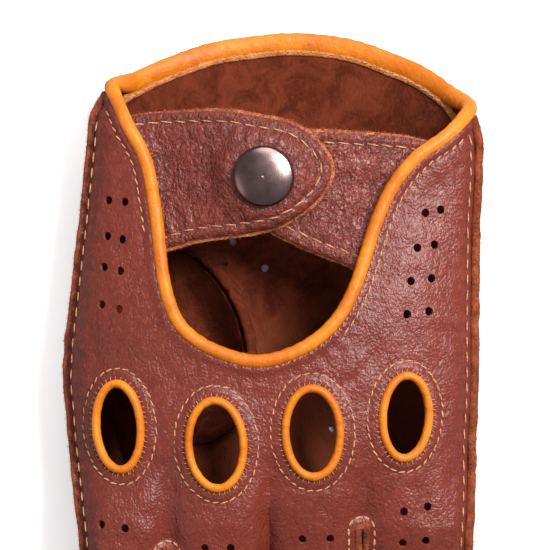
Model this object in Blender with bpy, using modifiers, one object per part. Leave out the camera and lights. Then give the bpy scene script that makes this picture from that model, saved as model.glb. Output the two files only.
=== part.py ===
"""Left-hand driving glove, lying palm down.

+Z points out of the back of the hand, +Y towards the wrist and +X towards the little finger.

Every leather piece is one sheet. It is cut out flat, in (q, y), where q runs across the hand and y
along it, and is then laid on the surface that the glove has when it rests on a table. Lengths below
are in millimetres.
"""

import math

import bmesh
import bpy
import numpy as np
from mathutils import Matrix, Vector

MM = 0.001
GAP = 0.3

# leather and trim
LEATHER = 1.1
BEAD_R = 1.6  # roll round the wrist opening
RIM_ROLL = 1.7
RING_R = 1.0  # roll round a knuckle hole
LIP = 1.9  # raw seam edge outside the side seam

# hand
JOINT_Y = -34.0  # where the fingers leave the hand pieces
SEAM_Z = 17.0
BACK_RISE = 17.0
PALM_DROP = 20.0
HALF_Q = 50.0
LIP_SHARE = 0.94  # |q|/HALF_Q at which the lip starts
LEFT_EDGE = [
    (-36, -46.4), (-22, -47.0), (-5.3, -49.0), (4.4, -50.1), (12, -50.7), (17.8, -51.3),
    (25.5, -51.1), (41, -49.4), (62.7, -46.9), (75, -45.6), (84.5, -44.3), (90.3, -41.3),
    (106, -36),
]
RIGHT_EDGE = [
    (-36, 48.2), (-22, 48.7), (-9.7, 49.4), (4.3, 49.6), (13.6, 50.1), (36.7, 50.4),
    (56, 50.6), (71.6, 51.3), (78.5, 51.1), (82.3, 50.1), (106, 44),
]

# wrist opening
U_ROLL = [
    (-41.6, 94.5), (-39, 89.4), (-35.4, 80.9), (-32.2, 75.3), (-30.3, 70), (-28.3, 57.9),
    (-27.5, 50.6), (-26.5, 42.9), (-24.2, 35.1), (-21.6, 31.2), (-17.7, 28.1), (-13.3, 25.9),
    (-5.1, 23.6), (2.4, 24.7), (10.2, 28.6), (15.7, 33.9), (19.4, 40.4), (21.6, 46.3),
    (24.7, 56.2), (27.9, 63.9), (31.5, 69.5), (36.3, 74.3), (41.9, 78), (47.7, 83.8),
    (51.5, 89.5),
]
RIM = [
    (-40.6, 91.3), (-37, 93.4), (-31.3, 96.2), (-23.6, 99.3), (-15.8, 101.9), (-8.1, 103.2),
    (3.5, 104.4), (13.8, 103.8), (22, 102.2), (29.7, 99.3), (37.4, 96.1), (45.1, 90.8),
    (49.4, 85.6),
]
CORNERS = [(-41.4, 91.0), (49.6, 84.9)]

# knuckle holes: name, centre, width and length outside the roll, lean in degrees
HOLES = [
    ("index", -37.2, 7.75, 12.8, 23.1, 3.8),
    ("middle", -13.7, 3.6, 15.3, 23.3, 3.4),
    ("ring", 9.6, 6.5, 15.3, 23.4, 1.8),
    ("little", 32.0, 10.2, 13.2, 22.0, -3.0),
]

# fingers: name, x at the tip, y of the knuckle fold, y of the tip, half width at the tip, centre
# height at the joint, half height at the joint and at the tip, and whether it has a fourchette on the
# index side and on the little-finger side
FINGERS = [
    ("index", -38.6, -63.0, -95.0, 8.4, 19.5, 8.0, 6.0, 0, 1),
    ("middle", -14.4, -67.0, -104.4, 8.8, 20.0, 8.0, 6.2, 1, 1),
    ("ring", 11.2, -64.0, -97.0, 8.5, 16.5, 8.0, 6.0, 1, 1),
    ("little", 39.8, -56.0, -78.0, 7.8, 14.5, 7.5, 5.6, 1, 0),
]
CROTCHES = [("index_middle", -25.7, -21.8), ("middle_ring", -2.2, -26.0), ("ring_little", 21.5, -16.0)]
SLOT_R = 1.5
POWER = 2.8  # roundness of a finger's section
CORNER_U = 0.92  # where its back leather meets its fourchette
STRIP_EDGE = 0.56  # from a strip's edge to the seam line
FOURCHETTE_END = 0.72  # how far round the fingertip a fourchette reaches
TIP_ANGLE = 1.42

# thumb, folded under the palm
THUMB_C = (-24.0, 28.0)
THUMB_DIR = (0.3499, -0.9368)
THUMB_HOLE = (25.0, 17.0)
THUMB_JOINT = 30.0
THUMB_LENGTH = 29.0
THUMB_A = (11.5, 9.0)
THUMB_B = (5.6, 4.8)
PALM_OVER_THUMB = 12.4

# strap
TAB = [
    (-25.4, 84.2), (-11.9, 84.2), (-5.1, 83.2), (1.8, 82), (5.2, 80.9), (8.6, 78.8),
    (12, 75.4), (14, 71.7), (14, 68.3), (12, 64.2), (8.6, 60.5), (5.2, 58.1),
    (1.8, 56.2), (-3.3, 55), (-11.8, 54), (-18.6, 53.2), (-23.4, 51.9),
]
UNDER_TAB = [
    (34.0, 77.8), (29.7, 78.3), (21.1, 78.8), (6.5, 79.4), (-0.5, 78.6), (-6, 75.6),
    (-9.2, 70.8), (-9.4, 66), (-7.4, 61.3), (-3, 57.2), (1.8, 54.2), (6.9, 51.8),
    (12, 49.6), (17.4, 47.6), (21.2, 55.0),
]
SNAP = (-2.2, 68.4)
TAB_Z = 30.0
DOME = 2.9
UNDER_Z = 27.0
TAB_AXIS = (-25.2, 67.8, 27.0)
UNDER_AXIS = (25.3, 63.0, 25.6)
TAB_ROOT = [
    (-26.1, 84.0), (-24.0, 51.9), (-29.6, 53.0), (-30.2, 57.9),
    (-32.0, 70.0), (-33.6, 75.3), (-37.8, 82.2),
]
UNDER_TAB_ROOT = [
    (21.8, 55.0), (18.0, 47.4), (22.6, 45.6), (25.6, 54.0), (29.2, 62.6),
    (33.6, 69.6), (38.6, 74.2), (38.0, 77.2), (34.6, 77.6),
]


def smooth(a, b, x):
    t = min(1.0, max(0.0, (x - a) / (b - a)))
    return t * t * (3 - 2 * t)


def along(points, y):
    """The value at y of a soft curve through (y, value) points."""
    ys = np.array([p[0] for p in points], float)
    vs = np.array([p[1] for p in points], float)
    slopes = np.gradient(vs, ys)
    y = min(max(y, ys[0]), ys[-1])
    i = min(max(int(np.searchsorted(ys, y)) - 1, 0), len(ys) - 2)
    h = ys[i + 1] - ys[i]
    t = (y - ys[i]) / h
    values = (2 * t**3 - 3 * t**2 + 1) * vs[i] + (3 * t**2 - 2 * t**3) * vs[i + 1]
    return float(values + h * ((t**3 - 2 * t**2 + t) * slopes[i] + (t**3 - t**2) * slopes[i + 1]))


def side(y):
    """Middle and half width of the hand inside its side seams."""
    left, right = along(LEFT_EDGE, y) + LIP, along(RIGHT_EDGE, y) - LIP
    return (left + right) / 2, (right - left) / 2


def to_q(x, y):
    """The flat q of a point in plan."""
    middle, half = side(y)
    u = (x - middle) / half
    if abs(u) > 1:
        over = (abs(u) - 1) * half / LIP
        return math.copysign(HALF_Q * (LIP_SHARE + over * (1 - LIP_SHARE)), u)
    return HALF_Q * LIP_SHARE * math.asin(u) * 2 / math.pi


def from_q(q, y):
    """u across the hand, from -1 to 1, and x, of a flat q."""
    middle, half = side(y)
    t = q / HALF_Q
    if abs(t) <= LIP_SHARE:
        u = math.sin(math.pi / 2 * t / LIP_SHARE)
        return u, middle + half * u
    over = (abs(t) - LIP_SHARE) / (1 - LIP_SHARE) * LIP
    return math.copysign(1, t), middle + math.copysign(half + over, t)


def bulge(u, power):
    return (1 - min(1.0, abs(u)) ** power) ** (1 / power)


def finger_at(i, y):
    """Centre x, half width, centre z and half height of finger i at y, without its rounded tip."""
    name, tip_x, _, tip_y, tip_a, joint_z, joint_b, tip_b, first, last = FINGERS[i]
    at = max(y, JOINT_Y)
    middle, half = side(at)
    low = CROTCHES[i - 1][1] + SLOT_R if first else middle - half
    high = CROTCHES[i][1] - SLOT_R if last else middle + half
    low_u, high_u = (-CORNER_U if first else -1), (CORNER_U if last else 1)
    a = (high - low) / (high_u - low_u)
    x = low - low_u * a
    s = (JOINT_Y - y) / (JOINT_Y - tip_y)
    z = tip_b + (joint_z - tip_b) * (1 - max(s, -0.4)) ** 1.4 if s < 1 else tip_b
    b = joint_b + (tip_b - joint_b) * min(1, max(s, -0.3))
    if y < JOINT_Y:
        x += (tip_x - x) * s
        a += (tip_a - a) * s**1.3
    return x, a, z, b


def finger_z(x, y, up):
    """Height of the fingers' own surface, back (up = 1) or palm (up = -1)."""
    def on(i):
        cx, a, cz, b = finger_at(i, y)
        low = -CORNER_U if FINGERS[i][8] else -1
        high = CORNER_U if FINGERS[i][9] else 1
        return cz + up * b * bulge(min(high, max(low, (x - cx) / a)), POWER)

    for i, (_, kx, _) in enumerate(CROTCHES):
        if x < kx + SLOT_R:
            w = smooth(kx - SLOT_R, kx + SLOT_R, x)
            return on(i) if w == 0 else on(i) * (1 - w) + on(i + 1) * w
    return on(3)


def back_point(q, y):
    """Outer surface of the back of the hand."""
    u, x = from_q(q, y)
    rise = BACK_RISE - 5.5 * smooth(30, 68, y) - 5.5 * smooth(79, 94, y) - 4.0 * smooth(12, -34, y)
    lean = 0.06 * math.sin(math.pi * u)  # crown a little towards the index finger
    power = 2.3 + 0.3 * smooth(40, 70, y) - 0.3 * smooth(80, 94, y)
    hand = SEAM_Z + 1.25 + (rise - 1.25) * (bulge(u, power) - lean * bulge(u, power))
    w = smooth(4, -27, y)
    fingers = finger_z(x, y, 1) if w else 0.0
    floor = seam_height(u, y) + 1.25
    return x, y, max(floor, hand * (1 - w) + fingers * w)


def seam_height(u, y):
    w = smooth(4, -27, y)
    i = 0 if u < 0 else 3
    return SEAM_Z * (1 - w) + finger_at(i, y)[2] * w


def thumb_frame(x, y):
    """Distance along and across the thumb from the middle of its hole."""
    dx, dy = x - THUMB_C[0], y - THUMB_C[1]
    return dx * THUMB_DIR[0] + dy * THUMB_DIR[1], dx * -THUMB_DIR[1] + dy * THUMB_DIR[0]


def thumb_place(s, r, z):
    """The point s along the thumb and r across it."""
    x = THUMB_C[0] + s * THUMB_DIR[0] - r * THUMB_DIR[1]
    return x, THUMB_C[1] + s * THUMB_DIR[1] + r * THUMB_DIR[0], z


def palm_point(q, y):
    """Outer surface of the palm."""
    u, x = from_q(q, y)
    drop = PALM_DROP - 3.0 * smooth(60, 95, y)
    hand = max(0.0, SEAM_Z - 1.25 - (drop - 1.25) * bulge(u, 2.2))
    w = smooth(-2, -27, y)
    fingers = finger_z(x, y, -1) if w else 0.0
    z = hand * (1 - w) + fingers * w
    s, r = thumb_frame(x, y)
    away = math.hypot(max(0.0, s - THUMB_JOINT - THUMB_LENGTH + 9, -s), r) - 13.0
    over = PALM_OVER_THUMB * (1 - smooth(0.0, 13.0, away))
    z = (z**5 + over**5) ** 0.2
    return x, y, min(z, seam_height(u, y) - 1.25)


def roll_x(y, left):
    """x of the wrist opening's roll at y, on its left or its right."""
    arm = [(b, a) for a, b in (U_ROLL[::-1] if left else U_ROLL) if (a < -16) == left and (a > 14) != left]
    return along(sorted(arm), y)


def under_roll(y, left):
    """Height of a tab where it passes under the roll."""
    x = roll_x(y, left)
    return back_point(to_q(x, y), y)[2] - 0.5 - BEAD_R - 0.45


def tab_point(x, y):
    """Top of the strap tab: out from under the roll, level, and domed over the snap."""
    r = math.hypot(x - SNAP[0], y - SNAP[1])
    root = smooth(-8, roll_x(y, True) + 2, x)
    return x, y, TAB_Z * (1 - root) + under_roll(y, True) * root + DOME * (1 - smooth(7.5, 13.5, r))


def under_point(x, y):
    root = smooth(15, roll_x(y, False) - 2, x)
    return x, y, (UNDER_Z - 1.0 * smooth(-2, -12, x)) * (1 - root) + under_roll(y, False) * root


def plain(x, y):
    return x, y


def offset(points, distance):
    """An open path moved sideways, to its left where distance is positive."""
    p = np.array(points, float)
    t = np.gradient(p, axis=0)
    t /= np.linalg.norm(t, axis=1)[:, None]
    return (p + distance * np.stack([-t[:, 1], t[:, 0]], 1)).tolist()


def softened(points, per_span=4):
    """A Catmull-Rom curve through an open path."""
    p = np.array([points[0], *points, points[-1]], float)
    out = []
    for i in range(1, len(p) - 2):
        for k in range(per_span):
            t = k / per_span
            slope = p[i + 1] - p[i - 1]
            bend = 2 * p[i - 1] - 5 * p[i] + 4 * p[i + 1] - p[i + 2]
            twist = 3 * p[i] - p[i - 1] - 3 * p[i + 1] + p[i + 2]
            out.append(0.5 * (2 * p[i] + slope * t + bend * t**2 + twist * t**3))
    return [tuple(v) for v in out] + [tuple(p[-2])]


def ellipse(cx, cy, width, length, lean, steps=36):
    c, s = math.cos(math.radians(lean)), math.sin(math.radians(lean))
    out = []
    for k in range(steps):
        angle = 2 * math.pi * k / steps
        x, y = width / 2 * math.cos(angle), length / 2 * math.sin(angle)
        out.append((cx + x * c - y * s, cy + x * s + y * c))
    return out


def circle(cx, cy, r, steps=24):
    return ellipse(cx, cy, 2 * r, 2 * r, 0, steps)


for old in list(bpy.data.objects):
    bpy.data.objects.remove(old)
glove = bpy.data.collections.new("driving_glove")
cutters = bpy.data.collections.new("cutters")
bpy.context.scene.collection.children.link(glove)
bpy.context.scene.collection.children.link(cutters)


def material(name, colour, roughness, metallic=0.0):
    made = bpy.data.materials.new(name)
    made.use_nodes = True
    shader = made.node_tree.nodes["Principled BSDF"]
    shader.inputs["Base Color"].default_value = (*colour, 1)
    shader.inputs["Roughness"].default_value = roughness
    shader.inputs["Metallic"].default_value = metallic
    return made


BODY = material("body_leather", (0.16, 0.035, 0.025), 0.42)
SUEDE = material("suede_lining", (0.20, 0.06, 0.025), 0.9)
BINDING = material("binding_leather", (0.72, 0.22, 0.02), 0.45)
METAL = material("snap_metal", (0.10, 0.08, 0.08), 0.3, 1.0)


def add(name, mesh, look, collection=glove):
    thing = bpy.data.objects.new(name, mesh)
    collection.objects.link(thing)
    if look:
        mesh.materials.append(look)
    mesh.shade_smooth()
    mesh.set_sharp_from_angle(angle=math.radians(50))
    return thing


def prism(name, outline):
    """A cutter: a flat outline made 10 mm thick."""
    made = bmesh.new()
    face = made.faces.new([made.verts.new((x, y, -5)) for x, y in outline])
    raised = bmesh.ops.extrude_face_region(made, geom=[face])["geom"]
    bmesh.ops.translate(made, verts=[v for v in raised if isinstance(v, bmesh.types.BMVert)], vec=(0, 0, 10))
    bmesh.ops.recalc_face_normals(made, faces=made.faces)
    mesh = bpy.data.meshes.new(name)
    made.to_mesh(mesh)
    made.free()
    thing = add(name, mesh, None, cutters)
    thing.hide_render = True
    thing.display_type = "WIRE"
    return thing


def cut_sheet(name, look, low, high, cells, flat, surface, keep=None, remove=(), stand=0.0, face_up=True):
    """A sheet cut out flat between low and high, then laid on a surface.

    surface(q, y) is its outer side, and stand drops the whole sheet below that.
    """
    made = bmesh.new()
    bmesh.ops.create_grid(made, x_segments=cells[0], y_segments=cells[1], size=0.5)
    for v in made.verts:
        v.co = (low[0] + (v.co.x + 0.5) * (high[0] - low[0]), low[1] + (v.co.y + 0.5) * (high[1] - low[1]), 0)
    mesh = bpy.data.meshes.new(name)
    made.to_mesh(mesh)
    made.free()
    sheet = add(name, mesh, look)
    solid = sheet.modifiers.new("thickness", "SOLIDIFY")
    solid.thickness, solid.offset = LEATHER, -1
    cuts = [(keep, "INTERSECT")] if keep else []
    cuts += [(outline, "DIFFERENCE") for outline in remove]
    for k, (outline, operation) in enumerate(cuts):
        cut = sheet.modifiers.new(f"cut_{k}", "BOOLEAN")
        cut.operation, cut.solver = operation, "EXACT"
        cut.object = prism(f"{name}_cutter_{k}", [flat(x, y) for x, y in outline])
    bpy.context.view_layer.update()
    done = bpy.data.meshes.new_from_object(sheet.evaluated_get(bpy.context.evaluated_depsgraph_get()))
    sheet.modifiers.clear()
    sheet.data = done
    made = bmesh.new()
    made.from_mesh(done)
    bmesh.ops.triangulate(made, faces=made.faces)
    step = 0.25
    sign = 1 if face_up else -1
    for v in made.verts:
        q, y, deep = v.co
        p = np.array(surface(q, y))
        along_q = np.array(surface(q + step, y)) - np.array(surface(q - step, y))
        along_y = np.array(surface(q, y + step)) - np.array(surface(q, y - step))
        n = np.cross(along_q, along_y)
        n *= sign / np.linalg.norm(n)
        v.co = (p + n * (deep - stand)) * MM
    if not face_up:
        bmesh.ops.reverse_faces(made, faces=made.faces)
    made.to_mesh(done)
    made.free()
    done.shade_smooth()
    done.set_sharp_from_angle(angle=math.radians(50))
    return sheet


def shell(name, look, nu, nv, surface, inside, closed=False):
    """A sheet from surface(u, v), with u and v from 0 to 1, thickened towards inside(point)."""
    made = bmesh.new()
    bmesh.ops.create_grid(made, x_segments=nu, y_segments=nv, size=0.5)
    for v in made.verts:
        v.co = [c * MM for c in surface(v.co.x + 0.5, v.co.y + 0.5)]
    if closed:
        bmesh.ops.remove_doubles(made, verts=made.verts, dist=1e-6)
    made.normal_update()
    lean = 0.0
    for f in made.faces:
        m = f.calc_center_median()
        lean += f.normal.dot(m - type(m)(inside(*(m / MM))) * MM) * f.calc_area()
    if lean < 0:
        bmesh.ops.reverse_faces(made, faces=made.faces)
    mesh = bpy.data.meshes.new(name)
    made.to_mesh(mesh)
    made.free()
    thing = add(name, mesh, look)
    solid = thing.modifiers.new("thickness", "SOLIDIFY")
    solid.thickness, solid.offset, solid.use_even_offset = LEATHER * MM, -1, False
    return thing


def roll(name, points, radius, sides=2):
    """A closed roll of binding leather along points."""
    curve = bpy.data.curves.new(name, "CURVE")
    curve.dimensions = "3D"
    curve.bevel_depth, curve.bevel_resolution = radius * MM, sides
    spline = curve.splines.new("POLY")
    spline.points.add(len(points) - 1)
    for point, p in zip(spline.points, points):
        point.co = (*[c * MM for c in p], 1)
    spline.use_cyclic_u = True
    thing = bpy.data.objects.new(name, curve)
    glove.objects.link(thing)
    curve.materials.append(BINDING)
    return thing


def turned(name, profile, centre, steps=24):
    """A turned piece: (radius, z) profile, from its top at the outside down."""
    made = bmesh.new()
    points = [made.verts.new((r * MM, 0, z * MM)) for r, z in profile]
    for a, b in zip(points, points[1:]):
        made.edges.new((a, b))
    if profile[0][0] > 0:
        made.edges.new((points[-1], points[0]))
    mesh = bpy.data.meshes.new(name)
    made.to_mesh(mesh)
    made.free()
    thing = add(name, mesh, METAL)
    thing.location = (centre[0] * MM, centre[1] * MM, 0)
    spin = thing.modifiers.new("turn", "SCREW")
    spin.steps = spin.render_steps = steps
    spin.use_merge_vertices, spin.merge_threshold = True, 0.0001
    return thing


# back and palm
u_line = softened(U_ROLL, 2)
rim_line = softened(RIM, 2)
hand_flat = lambda x, y: (to_q(x, y), y)
u_cut = offset(u_line, -(BEAD_R + GAP))
slots = []
for _, kx, top in CROTCHES:
    turn = np.linspace(0, math.pi, 9)
    arc = [(kx + SLOT_R * math.cos(a), top - SLOT_R + SLOT_R * math.sin(a)) for a in turn]
    slots.append([(kx + SLOT_R, JOINT_Y - 6), *arc, (kx - SLOT_R, JOINT_Y - 6)])
wrist_corners = [circle(x, y, 3.4, 16) for x, y in CORNERS]
ring_cuts = [ellipse(x, y, w + 2 * GAP, l + 2 * GAP, lean) for _, x, y, w, l, lean in HOLES]
opening = [(-60, 140), *u_cut, (60, 140)][::-1]
back_holes = [opening, *slots, *ring_cuts, *wrist_corners]
low, high = (-HALF_Q, JOINT_Y), (HALF_Q, 91)
cut_sheet("back_panel", BODY, low, high, (20, 20), hand_flat, back_point, remove=back_holes)

rim_cut = offset(rim_line, -(2 * RIM_ROLL + GAP))
thumb_hole = []
for k in range(36):
    angle = 2 * math.pi * k / 36
    s, r = THUMB_HOLE[0] * math.cos(angle), THUMB_HOLE[1] * math.sin(angle)
    thumb_hole.append(thumb_place(s, r, 0)[:2])
past_rim = [(-70, 92), *rim_cut, (70, 84), (60, 140), (-60, 140)]
palm_holes = [past_rim, *slots, thumb_hole, *wrist_corners]
high = (HALF_Q, 103)
cut_sheet("palm_panel", BODY, low, high, (20, 22), hand_flat, palm_point, remove=palm_holes, face_up=False)

# rolls
inner = [p for p in u_line if p[1] < (89.0 if p[0] < 0 else 83.9)]
rim_path = offset(rim_line, -RIM_ROLL)
loop = [(*p, back_point(to_q(*p), p[1])[2] - 0.5) for p in inner]
loop.append((49.0, 85.0, SEAM_Z))
loop += [(*p, palm_point(to_q(*p), p[1])[2] + RIM_ROLL) for p in rim_path[::-1][2:-2]]
loop.append((-40.9, 90.9, SEAM_Z))
roll("wrist_binding", loop, BEAD_R)
for name, x, y, w, l, lean in HOLES:
    oval = ellipse(x, y, w - 2 * RING_R, l - 2 * RING_R, lean, 28)
    roll(f"{name}_knuckle_binding", [(*p, back_point(to_q(*p), p[1])[2] - 0.4) for p in oval], RING_R, 1)

# crotches between the fingers
for name, kx, top in CROTCHES:
    length = top - SLOT_R - JOINT_Y
    total = 2 * length + math.pi * SLOT_R

    def wall(u, v, kx=kx, top=top, length=length, total=total):
        r = SLOT_R + 0.1
        d = u * total
        if d < length:
            x, y = kx - r, JOINT_Y + 0.15 + d
        elif d > total - length:
            x, y = kx + r, JOINT_Y + 0.15 + total - d
        else:
            a = math.pi * (1 - (d - length) / (math.pi * SLOT_R))
            x, y = kx + r * math.cos(a), top - SLOT_R + 0.15 + r * math.sin(a)
        q = to_q(x, y)
        low, high = palm_point(q, y)[2] + 1.9, back_point(q, y)[2] - 1.9
        return x, y, low + (high - low) * v

    shell(f"{name}_crotch", SUEDE, 12, 2, wall, lambda x, y, z, kx=kx, top=top: (kx, min(y, top - SLOT_R), z))
    # the thickness goes away from the slot, into the fingers
    bpy.data.objects[f"{name}_crotch"].modifiers["thickness"].offset = 1

# fingers
corner_angle = math.acos(CORNER_U ** (POWER / 2))


def ring_point(i, y, angle, tip):
    """A point on finger i's outer skin: angle 0 is the little-finger side and a right angle is the back."""
    cx, a, cz, b = finger_at(i, y)
    c, s = math.cos(angle), math.sin(angle)
    x = cx + tip * a * math.copysign(abs(c) ** (2 / POWER), c)
    z = cz + tip**0.8 * b * math.copysign(abs(s) ** (2 / POWER), s)
    return x, y, max(0.0, z)


def strips_of(i):
    """Angles of each leather strip of finger i."""
    first, last = FINGERS[i][8], FINGERS[i][9]
    c = corner_angle
    near, far = (c if last else 0.0), (c if first else 0.0)
    out = {"back": (near, math.pi - far), "palm": (math.pi + far, 2 * math.pi - near)}
    if last:
        out["outer_fourchette"] = (-c, c)
    if first:
        out["inner_fourchette"] = (math.pi - c, math.pi + c)
    return out


def narrowed(strip, start, end, close):
    """The angles that a strip still covers where it has closed by close towards the fingertip."""
    if "fourchette" in strip:
        middle = (start + end) / 2
        return middle + (start - middle) * (1 - close), middle + (end - middle) * (1 - close)
    if strip == "back":
        return start * (1 - close), math.pi - (math.pi - end) * (1 - close)
    return math.pi + (start - math.pi) * (1 - close), 2 * math.pi - (2 * math.pi - end) * (1 - close)


def finger_base(i, start, end):
    """Surface of one strip from the hand to the knuckle fold."""
    first_y, last_y = JOINT_Y - GAP, FINGERS[i][2] + GAP / 2

    def surface(u, v):
        y = first_y + (last_y - first_y) * v
        edge = STRIP_EDGE / finger_at(i, y)[3]
        return ring_point(i, y, start + edge + (end - start - 2 * edge) * u, 1.0)

    return surface


def finger_tip(i, strip, start, end):
    """Surface of one strip from the knuckle fold round the fingertip."""
    fold_y, tip_y, tip_a = FINGERS[i][2:5]
    first_y, round_y = fold_y - GAP / 2, tip_y + tip_a * 1.05

    def surface(u, v):
        if "fourchette" in strip:
            v *= FOURCHETTE_END
        y, tip = first_y + (round_y - first_y) * v / 0.5, 1.0
        if v >= 0.5:
            angle = (v - 0.5) / 0.5 * TIP_ANGLE
            y = round_y + (tip_y - round_y) * math.sin(angle) / math.sin(TIP_ANGLE)
            tip = math.cos(angle)
        low, high = narrowed(strip, start, end, 0.9 * smooth(0.15, 0.74, v))
        edge = STRIP_EDGE / max(finger_at(i, y)[3] * tip, 1.2)
        return ring_point(i, y, low + edge + (high - low - 2 * edge) * u, tip)

    return surface


def finger_core(i):
    """A point inside finger i, beside (x, y, z)."""

    def core(x, y, z):
        cx, _, cz, _ = finger_at(i, y)
        return cx, y + (6 if y < FINGERS[i][3] + 8 else 0), cz

    return core


for i, finger in enumerate(FINGERS):
    for strip, (start, end) in strips_of(i).items():
        wide, look = (2, SUEDE) if "fourchette" in strip else (6, BODY)
        name, core = f"{finger[0]}_{strip}", finger_core(i)
        shell(f"{name}_base", look, wide, 3, finger_base(i, start, end), core)
        shell(f"{name}_tip", look, wide, 8, finger_tip(i, strip, start, end), core)

# thumb
def thumb_ring(s, angle, tip=1.0):
    """angle 0 is the side towards the palm, and it turns towards +r."""
    k = min(1.0, max(0.0, (s - THUMB_JOINT) / THUMB_LENGTH))
    a = THUMB_A[0] + (THUMB_A[1] - THUMB_A[0]) * k
    b = THUMB_B[0] + (THUMB_B[1] - THUMB_B[0]) * k
    c, w = math.cos(angle), math.sin(angle)
    up = math.copysign(abs(c) ** 0.85, c)
    return thumb_place(s, tip * a * math.copysign(abs(w) ** 0.8, w), max(0.0, b + tip**0.8 * b * up))


def thumb_base(u, v):
    angle = 2 * math.pi * u
    s, r = (THUMB_HOLE[0] - 0.5) * math.cos(angle), (THUMB_HOLE[1] - 0.5) * math.sin(angle)
    x, y, _ = thumb_place(s, r, 0)
    z = palm_point(to_q(x, y), y)[2] - 0.7 * smooth(-0.4, 0.8, math.cos(angle))
    end = thumb_ring(THUMB_JOINT - 0.3, angle)
    sag = 2.2 * math.sin(math.pi * v) * max(0.0, -math.cos(angle))
    height = max(0.0, (1 - v) * z + v * end[2] - sag)
    return (1 - v) * x + v * end[0], (1 - v) * y + v * end[1], height


def thumb_core(x, y, z):
    s, r = thumb_frame(x, y)
    return thumb_place(min(s, THUMB_JOINT + THUMB_LENGTH - 8), 0, 6)


def thumb_base_core(x, y, z):
    return thumb_place(min(max(thumb_frame(x, y)[0], 4), 26), 0, 7.5)


def thumb_half(start, end):
    """Surface of one side of the thumb, from its joint round its tip."""
    s0, s1, s2 = THUMB_JOINT + GAP / 2, THUMB_JOINT + THUMB_LENGTH - 9.5, THUMB_JOINT + THUMB_LENGTH

    def surface(u, v):
        s, tip = s0 + (s1 - s0) * v / 0.5, 1.0
        if v >= 0.5:
            angle = (v - 0.5) / 0.5 * TIP_ANGLE
            s, tip = s1 + (s2 - s1) * math.sin(angle) / math.sin(TIP_ANGLE), math.cos(angle)
        edge = 0.45 / max(THUMB_B[1] * tip, 1.2)
        return thumb_ring(s, start + edge + (end - start - 2 * edge) * u, tip)

    return surface


shell("thumb_base", BODY, 24, 6, thumb_base, thumb_base_core, closed=True)
shell("thumb_inner", BODY, 6, 8, thumb_half(-math.pi / 2, math.pi / 2), thumb_core)
shell("thumb_outer", BODY, 6, 8, thumb_half(math.pi / 2, 3 * math.pi / 2), thumb_core)

# strap
def cut_tab(name, look, outline, surface, stand=0.0, holes=()):
    xs, ys = [p[0] for p in outline], [p[1] for p in outline]
    low, high = (min(xs) - 2, min(ys) - 2), (max(xs) + 2, max(ys) + 2)
    cut_sheet(name, look, low, high, (12, 9), plain, surface, keep=outline, remove=holes, stand=stand)


post_hole = [circle(*SNAP, 2.1, 16)]
for name, outline, surface in (
    ("strap_tab", softened(TAB, 2), tab_point),
    ("under_tab", softened(UNDER_TAB, 1), under_point),
):
    cut_tab(f"{name}_leather", BODY, outline, surface, holes=post_hole)
    cut_tab(f"{name}_lining", SUEDE, outline, surface, LEATHER + GAP, post_hole)
# fixed roots, sewn under the roll
cut_tab("strap_tab_root", BODY, TAB_ROOT, tab_point)
cut_tab("under_tab_root", BODY, UNDER_TAB_ROOT, under_point)

# snap
top = TAB_Z + DOME
crown = [(0.0, 3.0), (1.6, 2.75), (3.6, 2.6), (5.6, 2.1), (6.9, 1.3), (7.4, 0.6), (7.1, 0.3)]
post = [(1.8, 0.3), (1.8, -2.8), (0.0, -2.8)]
turned("snap_cap", [(r, top + z) for r, z in crown + post], SNAP)
low = top - 2 * LEATHER - GAP  # underside of the tab's lining
cup = [(4.8, -0.5), (5.2, -0.9), (5.2, -1.5), (4.6, -2.2), (2.6, -2.2), (2.4, -1.4), (2.8, -0.5)]
turned("snap_socket", [(r, low + z) for r, z in cup], SNAP)
under = under_point(*SNAP)[2]
knob = [(0.0, 2.6), (1.9, 2.4), (2.1, 1.6), (1.8, 1.0), (4.4, 0.8), (4.4, 0.3)]
stem = [(1.8, 0.3), (1.8, -2.7), (0.0, -2.7)]
turned("snap_stud", [(r, under + z) for r, z in knob + stem], SNAP)
plate = [(0.0, -3.0), (4.6, -3.0), (5.0, -3.4), (4.4, -3.9), (0.0, -4.0)]
turned("snap_eyelet", [(r, under + z) for r, z in plate], SNAP)


# joint axes: each moving piece hangs from an empty that stands on its joint
def hang(joint, place, names, parent=None):
    """Puts an empty at place and hangs the named pieces from it, where they are."""
    axis = bpy.data.objects.new(f"{joint}_axis", None)
    axis.empty_display_size = 5 * MM
    glove.objects.link(axis)
    world = Matrix.Translation(Vector(place) * MM)
    if parent:
        axis.parent = parent
        axis.matrix_parent_inverse = parent.matrix_world.inverted()
    axis.matrix_world = world
    bpy.context.view_layer.update()
    for name in names:
        piece = bpy.data.objects[name]
        piece.parent = axis
        piece.matrix_parent_inverse = world.inverted()
    return axis


hang("strap_tab_hinge", TAB_AXIS, ["strap_tab_leather", "strap_tab_lining", "snap_cap", "snap_socket"])
hang("under_tab_hinge", UNDER_AXIS, ["under_tab_leather", "under_tab_lining", "snap_stud", "snap_eyelet"])
hang("thumb_swing", thumb_place(THUMB_JOINT, 0, 0), ["thumb_inner", "thumb_outer"])
for i, finger in enumerate(FINGERS):
    parent = None
    for joint, part, y in (("base_flex", "base", JOINT_Y), ("mid_flex", "tip", finger[2])):
        cx, _, cz, b = finger_at(i, y)
        names = [f"{finger[0]}_{strip}_{part}" for strip in strips_of(i)]
        parent = hang(f"{finger[0]}_{joint}", (cx, y, cz - b), names, parent)
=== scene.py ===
"""A left-hand leather driving glove lying palm down.

Skins, suede, rolls, raw edges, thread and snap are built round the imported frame.
Lengths are in millimetres until a piece is laid in place.
"""

import math

import bmesh
import bpy
import numpy as np
from mathutils import Matrix, Vector


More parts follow.
